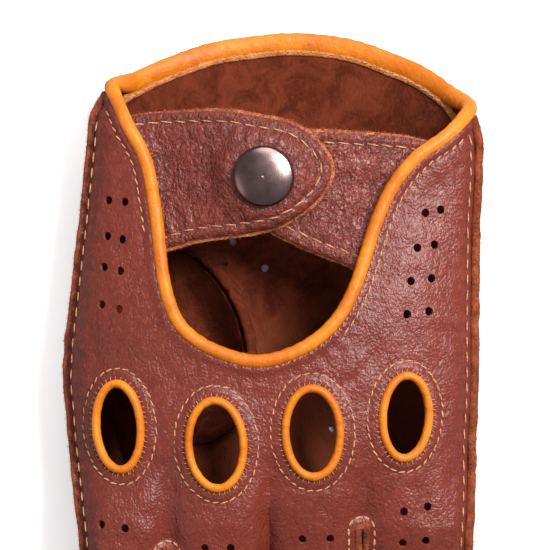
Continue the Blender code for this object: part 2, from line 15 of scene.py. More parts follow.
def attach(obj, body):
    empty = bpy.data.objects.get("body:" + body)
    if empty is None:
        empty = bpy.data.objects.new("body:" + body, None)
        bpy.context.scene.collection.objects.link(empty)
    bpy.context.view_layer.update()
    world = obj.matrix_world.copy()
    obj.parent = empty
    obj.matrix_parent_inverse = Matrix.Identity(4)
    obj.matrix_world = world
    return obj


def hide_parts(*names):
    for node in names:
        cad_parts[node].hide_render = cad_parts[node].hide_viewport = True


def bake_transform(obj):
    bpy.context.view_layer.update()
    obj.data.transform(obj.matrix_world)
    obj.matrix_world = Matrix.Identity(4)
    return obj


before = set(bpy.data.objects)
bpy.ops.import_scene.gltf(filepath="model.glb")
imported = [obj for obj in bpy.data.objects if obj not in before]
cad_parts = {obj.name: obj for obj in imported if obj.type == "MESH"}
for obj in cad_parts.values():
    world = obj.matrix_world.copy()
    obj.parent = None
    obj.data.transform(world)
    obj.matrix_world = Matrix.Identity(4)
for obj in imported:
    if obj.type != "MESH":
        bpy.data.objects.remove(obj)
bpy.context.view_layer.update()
MM = 0.001

# ---------------------------------------------------------------- sizes
LEATHER = 1.1
ROLL_R = 1.6  # roll round the wrist opening
LIP = 1.9  # raw seam edge outside the side seam
JOINT_Y = -34.0  # where the fingers leave the hand pieces
SEAM_Z = 17.0
SEAM_HALF = 1.25  # half the height that the side seam takes up
BACK_RISE = 17.0
PALM_DROP = 20.0
HALF_Q = 50.0  # half the width of the hand laid flat
LIP_SHARE = 0.94  # |q|/HALF_Q at which the lip starts
LEFT_EDGE = [
    (-36, -46.4), (-22, -47.0), (-5.3, -49.0), (4.4, -50.1), (12, -50.7), (17.8, -51.3),
    (25.5, -51.1), (41, -49.4), (62.7, -46.9), (75, -45.6), (84.5, -44.3), (90.3, -41.3),
    (106, -36),
]
RIGHT_EDGE = [
    (-36, 48.2), (-22, 48.7), (-9.7, 49.4), (4.3, 49.6), (13.6, 50.1), (36.7, 50.4), (56, 50.6),
    (71.6, 51.3), (78.5, 51.1), (82.3, 50.1), (106, 44),
]
U_ROLL = [
    (-41.6, 94.5), (-39, 89.4), (-35.4, 80.9), (-32.2, 75.3), (-30.3, 70), (-28.3, 57.9),
    (-27.5, 50.6), (-26.5, 42.9), (-24.2, 35.1), (-21.6, 31.2), (-17.7, 28.1), (-13.3, 25.9),
    (-5.1, 23.6), (2.4, 24.7), (10.2, 28.6), (15.7, 33.9), (19.4, 40.4), (21.6, 46.3), (24.7, 56.2),
    (27.9, 63.9), (31.5, 69.5), (36.3, 74.3), (41.9, 78), (47.7, 83.8), (51.5, 89.5),
]
RIM = [
    (-40.6, 91.3), (-37, 93.4), (-31.3, 96.2), (-23.6, 99.3), (-15.8, 101.9), (-8.1, 103.2),
    (3.5, 104.4), (13.8, 103.8), (22, 102.2), (29.7, 99.3), (37.4, 96.1), (45.1, 90.8),
    (49.4, 85.6),
]
# name, middle x and y, width, length and lean in degrees
HOLES = [
    ("index", -37.2, 7.75, 12.8, 23.1, 3.8), ("middle", -13.7, 3.6, 15.3, 23.3, 3.4),
    ("ring", 9.6, 6.5, 15.3, 23.4, 1.8), ("little", 32.0, 10.2, 13.2, 22.0, -3.0),
]
# name, tip x, second fold y, tip y, half width at the tip, middle height and half height at the hand,
# half height at the tip, and whether another finger lies before it and after it
FINGERS = [
    ("index", -38.6, -63.0, -95.0, 8.4, 19.5, 8.0, 6.0, 0, 1),
    ("middle", -14.4, -67.0, -104.4, 8.8, 20.0, 8.0, 6.2, 1, 1),
    ("ring", 11.2, -64.0, -97.0, 8.5, 16.5, 8.0, 6.0, 1, 1),
    ("little", 39.8, -56.0, -78.0, 7.8, 14.5, 7.5, 5.6, 1, 0),
]
# name, x, and y of its top
CROTCHES = [("index_middle", -25.7, -21.8), ("middle_ring", -2.2, -26.0), ("ring_little", 21.5, -16.0)]
SLOT_R = 1.5
POWER = 2.8  # roundness of a finger's section
CORNER_U = 0.92  # where its back leather meets its fourchette
CORNER = math.acos(CORNER_U ** (POWER / 2))
THUMB_C = (-24.0, 28.0)
THUMB_DIR = (0.3499, -0.9368)
THUMB_HOLE = (25.0, 17.0)
THUMB_JOINT = 30.0
THUMB_LENGTH = 29.0
THUMB_A = (11.5, 9.0)  # half width at its joint and its tip
THUMB_B = (5.6, 4.8)  # half height there
PALM_OVER_THUMB = 12.4
TAB = [
    (-25.4, 84.2), (-11.9, 84.2), (-5.1, 83.2), (1.8, 82), (5.2, 80.9), (8.6, 78.8), (12, 75.4),
    (14, 71.7), (14, 68.3), (12, 64.2), (8.6, 60.5), (5.2, 58.1), (1.8, 56.2), (-3.3, 55),
    (-11.8, 54), (-18.6, 53.2), (-23.4, 51.9),
]
UNDER_TAB = [
    (34.0, 77.8), (29.7, 78.3), (21.1, 78.8), (6.5, 79.4), (-0.5, 78.6), (-6, 75.6), (-9.2, 70.8),
    (-9.4, 66), (-7.4, 61.3), (-3, 57.2), (1.8, 54.2), (6.9, 51.8), (12, 49.6), (17.4, 47.6),
]
SNAP = (-2.2, 68.4)
TAB_Z = 30.0
DOME = 2.9
UNDER_Z = 27.0
PERFORATIONS = [
    (-40.1, 62.7), (-36.1, 62.3), (-40.4, 54), (-36.7, 53.2), (-41, 46.4), (-37.1, 45.5),
    (-41.6, 37.3), (-37.3, 36.2), (37.1, 59.6), (40.9, 60.4), (35, 51.1), (39.3, 51.9), (33.4, 43),
    (38.5, 43.7), (32.5, 35), (37.8, 35.7), (-41.6, -15.9), (-35.8, -16.8), (-16.5, -21.6),
    (-10.2, -21.6), (7.1, -19.6), (13.9, -19.5), (31.8, -12.9), (37.6, -11.7), (31.5, -20.7),
    (37.1, -20.1),
]
PALM_PERFORATIONS = [
    (-9.9, 52.6), (-12.6, 46.6), (-20.4, 53.6), (-2.0, 46.2), (14.8, 6.4), (15.2, 12.4),
    (38.2, 6.2), (33.5, -9.0), (10.6, -18.0), (-13.0, -20.0), (-37.5, -14.0),
]
# folds of the back leather: middle x and y, direction, width, half length and depth
FOLDS = [
    (-6, 19.0, 0.05, 1.1, 13, 0.34), (-2, 15.6, -0.06, 1.3, 11, 0.22), (21, 22, 0.75, 1.3, 9, 0.3),
    (24, 17, 0.6, 1.2, 7, 0.22), (-26, 21, -0.9, 1.3, 8, 0.28), (-25.6, -6, 1.45, 1.4, 9, 0.3),
    (-2.4, -10, 1.5, 1.4, 8, 0.3), (20.6, -4, 1.62, 1.4, 8, 0.3), (39, 24, 1.2, 1.6, 9, 0.22),
    (-44, 26, 1.7, 1.6, 10, 0.2), (-36, 70, 1.25, 1.4, 9, 0.2), (40, 66, -1.0, 1.5, 8, 0.25),
    (44, -6, 1.5, 1.5, 9, 0.2),
]
U_STITCH, RING_STITCH = 3.4, 2.5  # topstitch lines beside the opening's roll and the knuckle rolls
SHARP = 55  # degrees between faces above which an edge of cut leather is sharp
CUTTER_DEPTH = 10


# ---------------------------------------------------------------- curves and surfaces
def smooth(a, b, x):
    """0 up to a, 1 from b on, eased between."""
    t = np.clip((np.asarray(x, float) - a) / (b - a), 0, 1)
    return t * t * (3 - 2 * t)


def hump(a, b, x):
    """0 at a and b, 1 halfway."""
    return np.sin(math.pi * np.clip((np.asarray(x, float) - a) / (b - a), 0, 1))


def groove(at, width, x):
    """1 where x is at, and falls off over width."""
    return np.exp(-(((np.asarray(x, float) - at) / width) ** 2))


def along(points, y):
    """Value at y of a smooth curve through (y, value) points."""
    ys, vs = (np.array(c, float) for c in zip(*points))
    slopes = np.gradient(vs, ys)
    y = np.clip(np.asarray(y, float), ys[0], ys[-1])
    i = np.clip(np.searchsorted(ys, y) - 1, 0, len(ys) - 2)
    h = ys[i + 1] - ys[i]
    t = (y - ys[i]) / h
    return (
        (2 * t**3 - 3 * t**2 + 1) * vs[i]
        + (t**3 - 2 * t**2 + t) * h * slopes[i]
        + (3 * t**2 - 2 * t**3) * vs[i + 1]
        + (t**3 - t**2) * h * slopes[i + 1]
    )


def softened(points, per_span=8):
    """A Catmull-Rom curve through an open path."""
    p = np.array([points[0], *points, points[-1]], float)
    out = []
    for i in range(1, len(p) - 2):
        for k in range(per_span):
            t = k / per_span
            slope = p[i + 1] - p[i - 1]
            bend = 2 * p[i - 1] - 5 * p[i] + 4 * p[i + 1] - p[i + 2]
            twist = 3 * p[i] - p[i - 1] - 3 * p[i + 1] + p[i + 2]
            out.append(0.5 * (2 * p[i] + slope * t + bend * t**2 + twist * t**3))
    return np.array(out + [p[-2]])


def spaced(points, step, closed=False):
    """The same line with its points about step apart."""
    p = np.array(points, float)
    if closed:
        p = np.vstack([p, p[:1]])
    d = np.concatenate([[0], np.cumsum(np.linalg.norm(np.diff(p, axis=0), axis=1))])
    n = max(2, round(d[-1] / step))
    at = np.linspace(0, d[-1], n + 1)[: n if closed else n + 1]
    return np.stack([np.interp(at, d, p[:, k]) for k in range(p.shape[1])], 1)


def sideways(points, distance, closed=False):
    """A line moved to its left."""
    p = np.array(points, float)
    t = np.roll(p, -1, 0) - np.roll(p, 1, 0) if closed else np.gradient(p, axis=0)
    t = t[:, :2] / np.linalg.norm(t[:, :2], axis=1)[:, None]
    return p[:, :2] + distance * np.stack([-t[:, 1], t[:, 0]], 1)


def oval(cx, cy, width, length, lean, steps=72):
    """An ellipse in plan, turned by lean degrees."""
    c, s = math.cos(math.radians(lean)), math.sin(math.radians(lean))
    a = np.linspace(0, 2 * math.pi, steps, endpoint=False)
    x, y = width / 2 * np.cos(a), length / 2 * np.sin(a)
    return np.stack([cx + x * c - y * s, cy + x * s + y * c], 1)


def nearest(x, y, line, closed=False):
    """Distance in plan from each (x, y) to a line, and how far along it the nearest point lies."""
    p = np.vstack([line, line[:1]]) if closed else np.asarray(line)
    best, place, done = np.full(np.shape(x), 1e9), np.zeros(np.shape(x)), 0.0
    for a, b in zip(p[:-1], p[1:]):
        d = b - a
        size = math.hypot(*d)
        t = np.clip(((x - a[0]) * d[0] + (y - a[1]) * d[1]) / max(1e-9, d @ d), 0, 1)
        away = np.hypot(x - a[0] - t * d[0], y - a[1] - t * d[1])
        place = np.where(away < best, done + t * size, place)
        best = np.minimum(best, away)
        done += size
    return best, place


def drift(x, y, seed, size):
    """Soft random waves from -1 to 1, about size across."""
    rng = np.random.default_rng(seed)
    total = 0.0
    for _ in range(7):
        angle, k, phase = rng.uniform(0, 2 * math.pi), rng.uniform(0.6, 1.6) / size, rng.uniform(0, 6.3)
        c, s = math.cos(angle), math.sin(angle)
        sway = 1.3 * np.sin(2 * math.pi * 0.45 * k * (x * s - y * c) + 2 * phase)
        total = total + np.sin(2 * math.pi * k * (x * c + y * s) + phase + sway)
    return total / 4.5


def side(y):
    """Middle and half width of the hand inside its side seams."""
    left, right = along(LEFT_EDGE, y) + LIP, along(RIGHT_EDGE, y) - LIP
    return (left + right) / 2, (right - left) / 2


def to_q(x, y):
    """The flat q of a point in plan."""
    x = np.asarray(x, float)
    middle, half = side(y)
    u = (x - middle) / half
    over = (np.abs(u) - 1) * half / LIP
    inside = HALF_Q * LIP_SHARE * np.arcsin(np.clip(u, -1, 1)) * 2 / math.pi
    return np.where(np.abs(u) > 1, np.sign(u) * HALF_Q * (LIP_SHARE + over * (1 - LIP_SHARE)), inside)


def from_q(q, y):
    """u across the hand, from -1 to 1, and x, of a flat q."""
    middle, half = side(y)
    t = np.asarray(q, float) / HALF_Q
    over = np.maximum(0, np.abs(t) - LIP_SHARE) / (1 - LIP_SHARE) * LIP
    u = np.where(over > 0, np.sign(t), np.sin(math.pi / 2 * t / LIP_SHARE))
    return u, middle + half * u + np.sign(t) * over


def bulge(u, power):
    """Height of a rounded section at u, 1 in its middle and 0 at -1 and 1."""
    return (1 - np.minimum(1.0, np.abs(u)) ** power) ** (1 / power)


def finger_at(i, y):
    """Centre x, half width, centre z and half height of finger i at y, without its rounded tip."""
    _, tip_x, _, tip_y, tip_a, joint_z, joint_b, tip_b, first, last = FINGERS[i]
    y = np.asarray(y, float)
    middle, half = side(np.maximum(y, JOINT_Y))
    low = CROTCHES[i - 1][1] + SLOT_R if first else middle - half
    high = CROTCHES[i][1] - SLOT_R if last else middle + half
    low_u, high_u = (-CORNER_U if first else -1), (CORNER_U if last else 1)
    a = (high - low) / (high_u - low_u)
    x = low - low_u * a
    s = (JOINT_Y - y) / (JOINT_Y - tip_y)
    z = tip_b + (joint_z - tip_b) * np.clip(1 - np.maximum(s, -0.4), 0, 2) ** 1.4
    b = joint_b + (tip_b - joint_b) * np.clip(s, -0.3, 1)
    out = np.clip(s, 0, 1)
    return x + (tip_x - x) * out, a + (tip_a - a) * out**1.3, z, b


def fingers_z(x, y, up):
    """Height of the fingers' own surface, back (up = 1) or palm (up = -1)."""

    def on(i):
        cx, a, cz, b = finger_at(i, y)
        low = -CORNER_U if FINGERS[i][8] else -1
        high = CORNER_U if FINGERS[i][9] else 1
        return cz + up * b * bulge(np.clip((x - cx) / a, low, high), POWER)

    z = on(0)
    for i, (_, kx, _) in enumerate(CROTCHES):
        w = smooth(kx - SLOT_R, kx + SLOT_R, x)
        z = z * (1 - w) + on(i + 1) * w
    return z


def seam_height(u, y):
    """Height of the side seams: the index finger's where u is below 0, and the little finger's."""
    w = smooth(-4, 27, -np.asarray(y, float))
    return SEAM_Z * (1 - w) + np.where(u < 0, finger_at(0, y)[2], finger_at(3, y)[2]) * w


def back(q, y):
    """Outer side of the back of the hand, without its small relief."""
    u, x = from_q(q, y)
    rise = BACK_RISE - 5.5 * smooth(30, 68, y) - 5.5 * smooth(79, 94, y) - 4.0 * smooth(-12, 34, -y)
    lean = 0.06 * np.sin(math.pi * u)
    power = 2.3 + 0.3 * smooth(40, 70, y) - 0.3 * smooth(80, 94, y)
    hand = SEAM_Z + SEAM_HALF + (rise - SEAM_HALF) * bulge(u, power) * (1 - lean / SEAM_Z)
    w = smooth(-4, 27, -y)
    z = np.maximum(seam_height(u, y) + SEAM_HALF, hand * (1 - w) + fingers_z(x, y, 1) * w)
    return np.stack([x, y, z], -1)


def thumb_frame(x, y):
    """Distance along and across the thumb from the middle of its hole."""
    dx, dy = x - THUMB_C[0], y - THUMB_C[1]
    return dx * THUMB_DIR[0] + dy * THUMB_DIR[1], dx * -THUMB_DIR[1] + dy * THUMB_DIR[0]


def palm(q, y):
    """Outer side of the palm, without its small relief."""
    u, x = from_q(q, y)
    drop = PALM_DROP - 3.0 * smooth(60, 95, y)
    hand = np.maximum(0.0, SEAM_Z - SEAM_HALF - (drop - SEAM_HALF) * bulge(u, 2.2))
    w = smooth(2, 27, -y)
    z = hand * (1 - w) + fingers_z(x, y, -1) * w
    s, r = thumb_frame(x, y)
    away = np.hypot(np.maximum(np.maximum(0.0, s - THUMB_JOINT - THUMB_LENGTH + 9), -s), r) - 13.0
    over = PALM_OVER_THUMB * (1 - smooth(0.0, 13.0, away))
    z = (np.maximum(z, 0) ** 5 + over**5) ** 0.2
    return np.stack([x, y, np.minimum(z, seam_height(u, y) - SEAM_HALF)], -1)


def roll_x(y, left):
    """x of the wrist opening's roll at y, on its left or its right."""
    line = U_ROLL[::-1] if left else U_ROLL
    arm = [(b, a) for a, b in line if (a < -16) == left and (a > 14) != left]
    return along(sorted(arm), y)


def under_roll(y, left):
    """Height of a tab where it passes under the roll."""
    x = roll_x(y, left)
    return back(to_q(x, y), y)[..., 2] - 0.5 - ROLL_R - 0.45


def tab(x, y):
    """Top of the strap tab: out from under the roll, level, and domed over the snap."""
    r = np.hypot(x - SNAP[0], y - SNAP[1])
    root = smooth(-8, roll_x(y, True) + 2, x)
    z = TAB_Z * (1 - root) + under_roll(y, True) * root + DOME * (1 - smooth(7.5, 14.5, r))
    # the tip settles on the tab below it
    z = z - 0.55 * smooth(7, 14, x) - 0.25 * smooth(9, 15, np.abs(y - 69))
    return np.stack([x, y, z], -1)


def under(x, y):
    """Top of the tab that lies under the strap tab."""
    root = smooth(15, roll_x(y, False) - 2, x)
    z = (UNDER_Z - 1.0 * smooth(2, 12, -x)) * (1 - root) + under_roll(y, False) * root
    return np.stack([x, y, z], -1)


def facing(surface, a, b, step=0.25):
    """Unit normals of surface(a, b)."""
    n = np.cross(surface(a + step, b) - surface(a - step, b), surface(a, b + step) - surface(a, b - step))
    return n / np.linalg.norm(n, axis=-1)[..., None]


# ---------------------------------------------------------------- sewing lines and relief
u_line = softened(U_ROLL)
rings = {name: oval(x, y, w, l, lean) for name, x, y, w, l, lean in HOLES}
slot_lines = []
for _, kx, top in CROTCHES:
    bend = np.linspace(0, math.pi, 13)
    arc = np.stack([kx + SLOT_R * np.cos(bend), top - SLOT_R + SLOT_R * np.sin(bend)], 1)
    slot_lines.append(np.vstack([[(kx + SLOT_R, JOINT_Y - 6)], arc, [(kx - SLOT_R, JOINT_Y - 6)]]))


def back_relief(x, y):
    """Puffed ridges, sewn-down lines and creases of the back leather."""
    d, s = nearest(x, y, u_line)
    sewn_down = np.maximum(smooth(27, 33, y) * (x > 0), smooth(50, 58, y) * (x < 0))
    z = 0.6 * hump(0.6, U_STITCH, d) - 0.30 * sewn_down * groove(U_STITCH, 0.5, d)
    pucker = 0.10 + 0.10 * (1 - sewn_down)
    z = z + pucker * np.sin(2 * math.pi * s / 3.1 + 0.8 * np.sin(s / 4.7)) * hump(0.6, 7.5, d)
    calm = smooth(4.5, 9, d)
    for line in rings.values():
        d, s = nearest(x, y, line, closed=True)
        z = z + 0.62 * hump(-0.6, RING_STITCH + 0.1, d) - 0.30 * groove(RING_STITCH, 0.45, d)
        z = z + 0.07 * np.sin(2 * math.pi * s / 2.15) * hump(0.0, 4.6, d)
        calm = calm * smooth(2.5, 6, d)
    for line in slot_lines:
        d, _ = nearest(x, y, line)
        z = z + 0.95 * (1 - smooth(0.6, 2.0, d)) - 0.3 * groove(2.3, 0.5, d)
    middle, half = side(y)
    edge = half - np.abs(x - middle)
    calm = calm * smooth(0, 4, edge)
    z = z - 0.3 * groove(1.4, 0.8, edge) * (np.abs(x - middle) < half)
    z = z + 0.10 * np.sin(2 * math.pi * y / 3.6) * hump(-0.5, 5.0, edge)
    # slack leather: long soft waves, and folds below the opening and from the knuckles to the crotches
    slack = 0.40 * drift(x, y * 0.7, 3, 26) + 0.17 * drift(x, y, 11, 9) + 0.05 * drift(x, y * 0.8, 12, 3.6)
    for k, (cx, cy, lean, wide, long, deep) in enumerate(FOLDS):
        s = (x - cx) * math.cos(lean) + (y - cy) * math.sin(lean)
        r = -(x - cx) * math.sin(lean) + (y - cy) * math.cos(lean) + 0.9 * np.sin(s / 4.1 + k)
        fade = 1 - smooth(0.4 * long, long, np.abs(s))
        slack = slack - deep * np.exp(-((r / wide) ** 2)) * fade
        slack = slack + 0.5 * deep * np.exp(-(((r - 2.2) / (1.5 * wide)) ** 2)) * fade
    return z + slack * (0.25 + 0.75 * calm)


def palm_relief(x, y):
    """Slack of the palm leather, where it doesn't lie flat on the table."""
    loose = smooth(-2, 3, palm(to_q(x, y), y)[..., 2])
    return (0.3 * drift(x, y, 21, 22) + 0.1 * drift(x, y, 5, 8)) * loose


def on_back(line, lift=0.0):
    """3D points and normals of the finished back leather along a line in plan."""
    x, y = line[:, 0], line[:, 1]
    q = to_q(x, y)
    n = facing(back, q, y)
    return back(q, y) + n * (back_relief(x, y) + lift)[..., None], n


# ---------------------------------------------------------------- finishes
class Mix:
    """A shader socket that can be used in Python expressions."""

    def __init__(self, tree, socket):
        self.tree, self.socket = tree, socket

    def node(self, kind, settings=None, **values):
        """A new node. Its inputs are given by name, or as i0, i1 and so on by number."""
        made = self.tree.nodes.new(kind)
        for key, value in (settings or {}).items():
            setattr(made, key, value)
        for key, value in values.items():
            numbered = key[0] == "i" and key[1:].isdigit()
            socket = made.inputs[int(key[1:]) if numbered else key.replace("_", " ")]
            if isinstance(value, Mix):
                self.tree.links.new(value.socket, socket)
            else:
                socket.default_value = value
        return made

    def wrap(self, made, output=0):
        return Mix(self.tree, made.outputs[output])

    def maths(self, operation, *terms):
        """One Math node on terms, which are sockets or numbers."""
        made = self.tree.nodes.new("ShaderNodeMath")
        made.operation = operation
        for socket, term in zip(made.inputs, terms):
            if isinstance(term, Mix):
                self.tree.links.new(term.socket, socket)
            else:
                socket.default_value = term
        return self.wrap(made)

    def __add__(self, other):
        return self.maths("ADD", self, other)

    def __radd__(self, other):
        return self.maths("ADD", other, self)

    def __sub__(self, other):
        return self.maths("SUBTRACT", self, other)

    def __rsub__(self, other):
        return self.maths("SUBTRACT", other, self)

    def __mul__(self, other):
        return self.maths("MULTIPLY", self, other)

    def __rmul__(self, other):
        return self.maths("MULTIPLY", other, self)

    def __pow__(self, other):
        return self.maths("POWER", self, other)

    def ramp(self, low, high):
        """0 at low and 1 at high, eased."""
        setting = {"interpolation_type": "SMOOTHSTEP"}
        made = self.node("ShaderNodeMapRange", setting, Value=self, From_Min=low, From_Max=high)
        return self.wrap(made)

    def blend(self, a, b):
        """Colour a where this is 0 and b where it is 1."""
        made = self.tree.nodes.new("ShaderNodeMix")
        made.data_type = "RGBA"
        self.tree.links.new(self.socket, made.inputs[0])
        for socket, colour in ((made.inputs[6], a), (made.inputs[7], b)):
            if isinstance(colour, Mix):
                self.tree.links.new(colour.socket, socket)
            else:
                socket.default_value = (*colour, 1)
        return self.wrap(made, 2)


def scaled(colour, by):
    return tuple(min(1, by * c) for c in colour)


class Finish:
    """A material whose patterns are laid out in millimetres on the piece's own coordinates."""

    def __init__(self, name, **shader):
        self.material = bpy.data.materials.new(name)
        self.material.use_nodes = True
        self.tree = self.material.node_tree
        self.shader = self.tree.nodes["Principled BSDF"]
        for key, value in shader.items():
            socket = self.shader.inputs[key.replace("_", " ")]
            socket.default_value = (*value, 1) if isinstance(value, tuple) and len(value) == 3 else value
        place = self.tree.nodes.new("ShaderNodeTexCoord")
        self.start = Mix(self.tree, place.outputs["Object"])
        self.mm = self.stretched(1, 1, 1)

    def stretched(self, x, y, z, turn=0.0):
        """Coordinates in mm, scaled by x, y and z and turned."""
        scale = (1000 * x, 1000 * y, 1000 * z)
        made = self.start.node("ShaderNodeMapping", Vector=self.start, Scale=scale, Rotation=(0, 0, turn))
        return self.start.wrap(made)

    def cloud(self, size, detail=4.0, rough=0.55, place=None, warp=0.0):
        """Noise from 0 to 1, about size mm across."""
        shape = {"Scale": 1 / size, "Detail": detail, "Roughness": rough, "Distortion": warp}
        return self.start.wrap(self.start.node("ShaderNodeTexNoise", Vector=place or self.mm, **shape))

    def cells(self, size, place=None):
        """Distance from the middles of soft cells about size mm across."""
        kind = {"feature": "SMOOTH_F1"}
        made = self.start.node("ShaderNodeTexVoronoi", kind, Vector=place or self.mm, Scale=1 / size)
        return self.start.wrap(made)

    def stored(self, name):
        """A number stored on the mesh."""
        made = self.start.node("ShaderNodeAttribute", {"attribute_name": name})
        return self.start.wrap(made, 2)

    def feed(self, socket, value):
        self.tree.links.new(value.socket, self.shader.inputs[socket])

    def relief(self, *layers):
        """Bumps of (height, depth in mm)."""
        normal = None
        for height, depth in layers:
            values = {"Height": height, "Distance": depth * MM, "Strength": 1.0}
            if normal:
                values["Normal"] = normal
            normal = self.start.wrap(self.start.node("ShaderNodeBump", **values))
        self.feed("Normal", normal)


def body_leather(name, coarse=0.0, tone=1.0):
    """Glazed nappa: fine pebbled grain, thin creases that wander, a little polish and painted highlight on
    the high spots, painted shade in the low ones.
    """
    look = Finish(name, Roughness=0.4, Specular_IOR_Level=0.34 + 0.16 * coarse)
    broad = look.cloud(26, 3)
    patch = look.cloud(6, 4, 0.6)
    bend = look.start.wrap(look.start.node("ShaderNodeTexNoise", Vector=look.mm, Scale=0.5, Detail=3.0), 1)
    shift = {"i0": bend, "i1": (1.6, 1.6, 1.6), "i2": look.mm}
    bent = look.start.wrap(look.start.node("ShaderNodeVectorMath", {"operation": "MULTIPLY_ADD"}, **shift))
    pebble = 1 - look.cells(0.62 + 0.25 * coarse, bent)
    flow = look.cloud(0.7, 1.5, 0.5, place=look.stretched(1.0, 0.6, 1.0, 0.35), warp=0.8)
    fine = look.cloud(0.3, 3, 0.65)

    def creases(size, turn, stretch, thin=12):
        place = look.stretched(1 / size, 1 / (size * stretch), 1 / size, turn)
        n = look.cloud(1.0, 3, 0.5, place=place, warp=0.7)
        return (1 - (n * 2 - 1).maths("ABSOLUTE", n * 2 - 1)) ** thin

    small = creases(1.5, 0.5, 1.8)
    cross = creases(2.4, -0.6, 1.6)
    large = creases(6.0, 0.25, 2.2, 9)
    web = small * (0.12 + 0.6 * coarse) + cross * (0.10 + 0.6 * coarse) + large * (0.25 + 0.25 * coarse)
    lines = web.maths("MINIMUM", web, 1.0)
    tones = ((0.048, 0.0066, 0.0042), (0.160, 0.0245, 0.0145), (0.250, 0.048, 0.031))
    dark, mid, light = [scaled(rgb, tone) for rgb in tones]
    base = broad.ramp(0.3, 0.72).blend(mid, scaled(mid, 0.86))
    base = (patch.ramp(0.5, 0.85) * 0.3).blend(base, light)
    # painted highlight: paler where the grain's flow stands high
    base = (flow.ramp(0.5, 0.72) * 0.5).blend(base, light)
    # painted shade: darker in the gaps between pebbles and along the creases
    base = (pebble.ramp(0.3, 0.05) * 0.3).blend(base, dark)
    base = (lines * 0.6).blend(base, dark)
    look.feed("Base Color", base)
    look.feed("Roughness", 0.29 + 0.08 * patch + 0.2 * lines - 0.05 * flow)
    look.relief(
        (large, -0.10 - 0.20 * coarse),
        (cross, -0.02 - 0.22 * coarse),
        (small, -0.02 - 0.15 * coarse),
        (flow, 0.14 + 0.14 * coarse),
        (pebble, 0.15 + 0.14 * coarse),
        (fine, 0.03),
    )
    return look.material


def suede(name, tone=1.0):
    """The napped flesh side, mottled, and paler where the piece stores painted light, a lightening that
    stands in for light inside the glove.
    """
    sheen = {"Sheen_Weight": 0.03, "Sheen_Roughness": 0.5, "Sheen_Tint": (0.75, 0.3, 0.15)}
    look = Finish(name, Roughness=0.95, **sheen, Specular_IOR_Level=0.05)
    nap = look.cloud(0.6, 5, 0.7, place=look.stretched(1.0, 0.45, 1.0, 0.4))
    patch = look.cloud(7, 6, 0.7, warp=0.9)
    fibre = look.cloud(0.22, 3, 0.6)
    painted_light = look.stored("painted_light")
    dark, mid = scaled((0.070, 0.0125, 0.0055), tone), scaled((0.150, 0.030, 0.013), tone)
    base = patch.ramp(0.34, 0.68).blend(dark, mid)
    base = (nap.ramp(0.5, 0.8) * 0.5).blend(base, scaled((0.24, 0.058, 0.026), tone))
    base = (fibre.ramp(0.6, 0.8) * 0.5).blend(base, scaled((0.030, 0.006, 0.003), tone))
    # painted light: the stored amount blends the suede towards a paler colour, in place of light reaching
    # inside the glove
    base = (painted_light * 0.5).blend(base, (0.22, 0.055, 0.024))
    look.feed("Base Color", base)
    look.feed("Roughness", 0.86 + 0.12 * nap)
    look.relief((patch, 0.5), (nap, 0.25), (fibre, 0.12))
    return look.material


def raw_edge(name, dark, light):
    """The fibrous cut edge of the leather."""
    look = Finish(name, Roughness=0.9, Sheen_Weight=0.02, Sheen_Roughness=0.6, Specular_IOR_Level=0.1)
    fibre = look.cloud(0.5, 5, 0.75)
    patch = look.cloud(3.0, 4, 0.6)
    base = patch.ramp(0.35, 0.7).blend(dark, light)
    base = (fibre.ramp(0.49, 0.62) * 0.75).blend(base, scaled(dark, 0.35))
    base = (fibre.ramp(0.47, 0.34) * 0.6).blend(base, scaled(light, 1.3))
    look.feed("Base Color", base)
    look.feed("Roughness", 0.8 + 0.18 * fibre)
    look.relief((patch, 0.3), (fibre, 0.38))
    return look.material


def binding(name):
    """Smooth tan lamb leather, stretched round the edge: fine wrinkles across it and a waxy gloss."""
    look = Finish(name, Roughness=0.4, Coat_Weight=0.02, Coat_Roughness=0.25, Specular_IOR_Level=0.28)
    around, length = look.stored("around"), look.stored("length")
    broad = look.cloud(11, 3)
    patch = look.cloud(2.6, 4, 0.6)
    fine = look.cloud(0.4, 4, 0.6)
    unrolled = look.start.wrap(look.start.node("ShaderNodeCombineXYZ", X=length, Y=around * 0.9, Z=0.0))
    wrinkle = look.cloud(1.1, 4, 0.6, place=unrolled, warp=0.5)
    deep = look.cloud(3.4, 3, 0.5, place=unrolled, warp=0.4)
    grain = look.cells(0.5)
    base = broad.ramp(0.3, 0.7).blend((0.52, 0.118, 0.004), (0.70, 0.20, 0.009))
    base = (patch.ramp(0.5, 0.8) * 0.45).blend(base, (0.38, 0.075, 0.004))
    base = (wrinkle.ramp(0.55, 0.72) * 0.35).blend(base, (0.40, 0.085, 0.005))
    base = (fine.ramp(0.6, 0.8) * 0.25).blend(base, (0.80, 0.30, 0.04))
    look.feed("Base Color", base)
    look.feed("Roughness", 0.30 + 0.14 * patch + 0.10 * wrinkle)
    look.relief((deep, 0.22), (wrinkle, 0.20), (grain, -0.04), (fine, 0.03))
    return look.material


def thread(name, colour=(0.50, 0.225, 0.10)):
    """Matt twisted thread."""
    look = Finish(name, Roughness=0.62, Sheen_Weight=0.25, Specular_IOR_Level=0.35)
    strand = look.cloud(0.3, 3, 0.6, place=look.stretched(1.0, 1.0, 1.0, 0.8))
    patch = look.cloud(6, 2)
    bands = {"wave_type": "BANDS", "bands_direction": "DIAGONAL"}
    wave = look.start.node("ShaderNodeTexWave", bands, Vector=look.mm, Scale=0.55, Distortion=0.6)
    twist = look.start.wrap(wave)
    base = patch.ramp(0.35, 0.65).blend(scaled(colour, 0.85), scaled(colour, 1.15))
    base = (strand.ramp(0.55, 0.8) * 0.5).blend(base, scaled(colour, 0.5))
    look.feed("Base Color", base)
    look.feed("Roughness", 0.55 + 0.2 * strand)
    look.relief((twist, 0.08), (strand, 0.08))
    return look.material


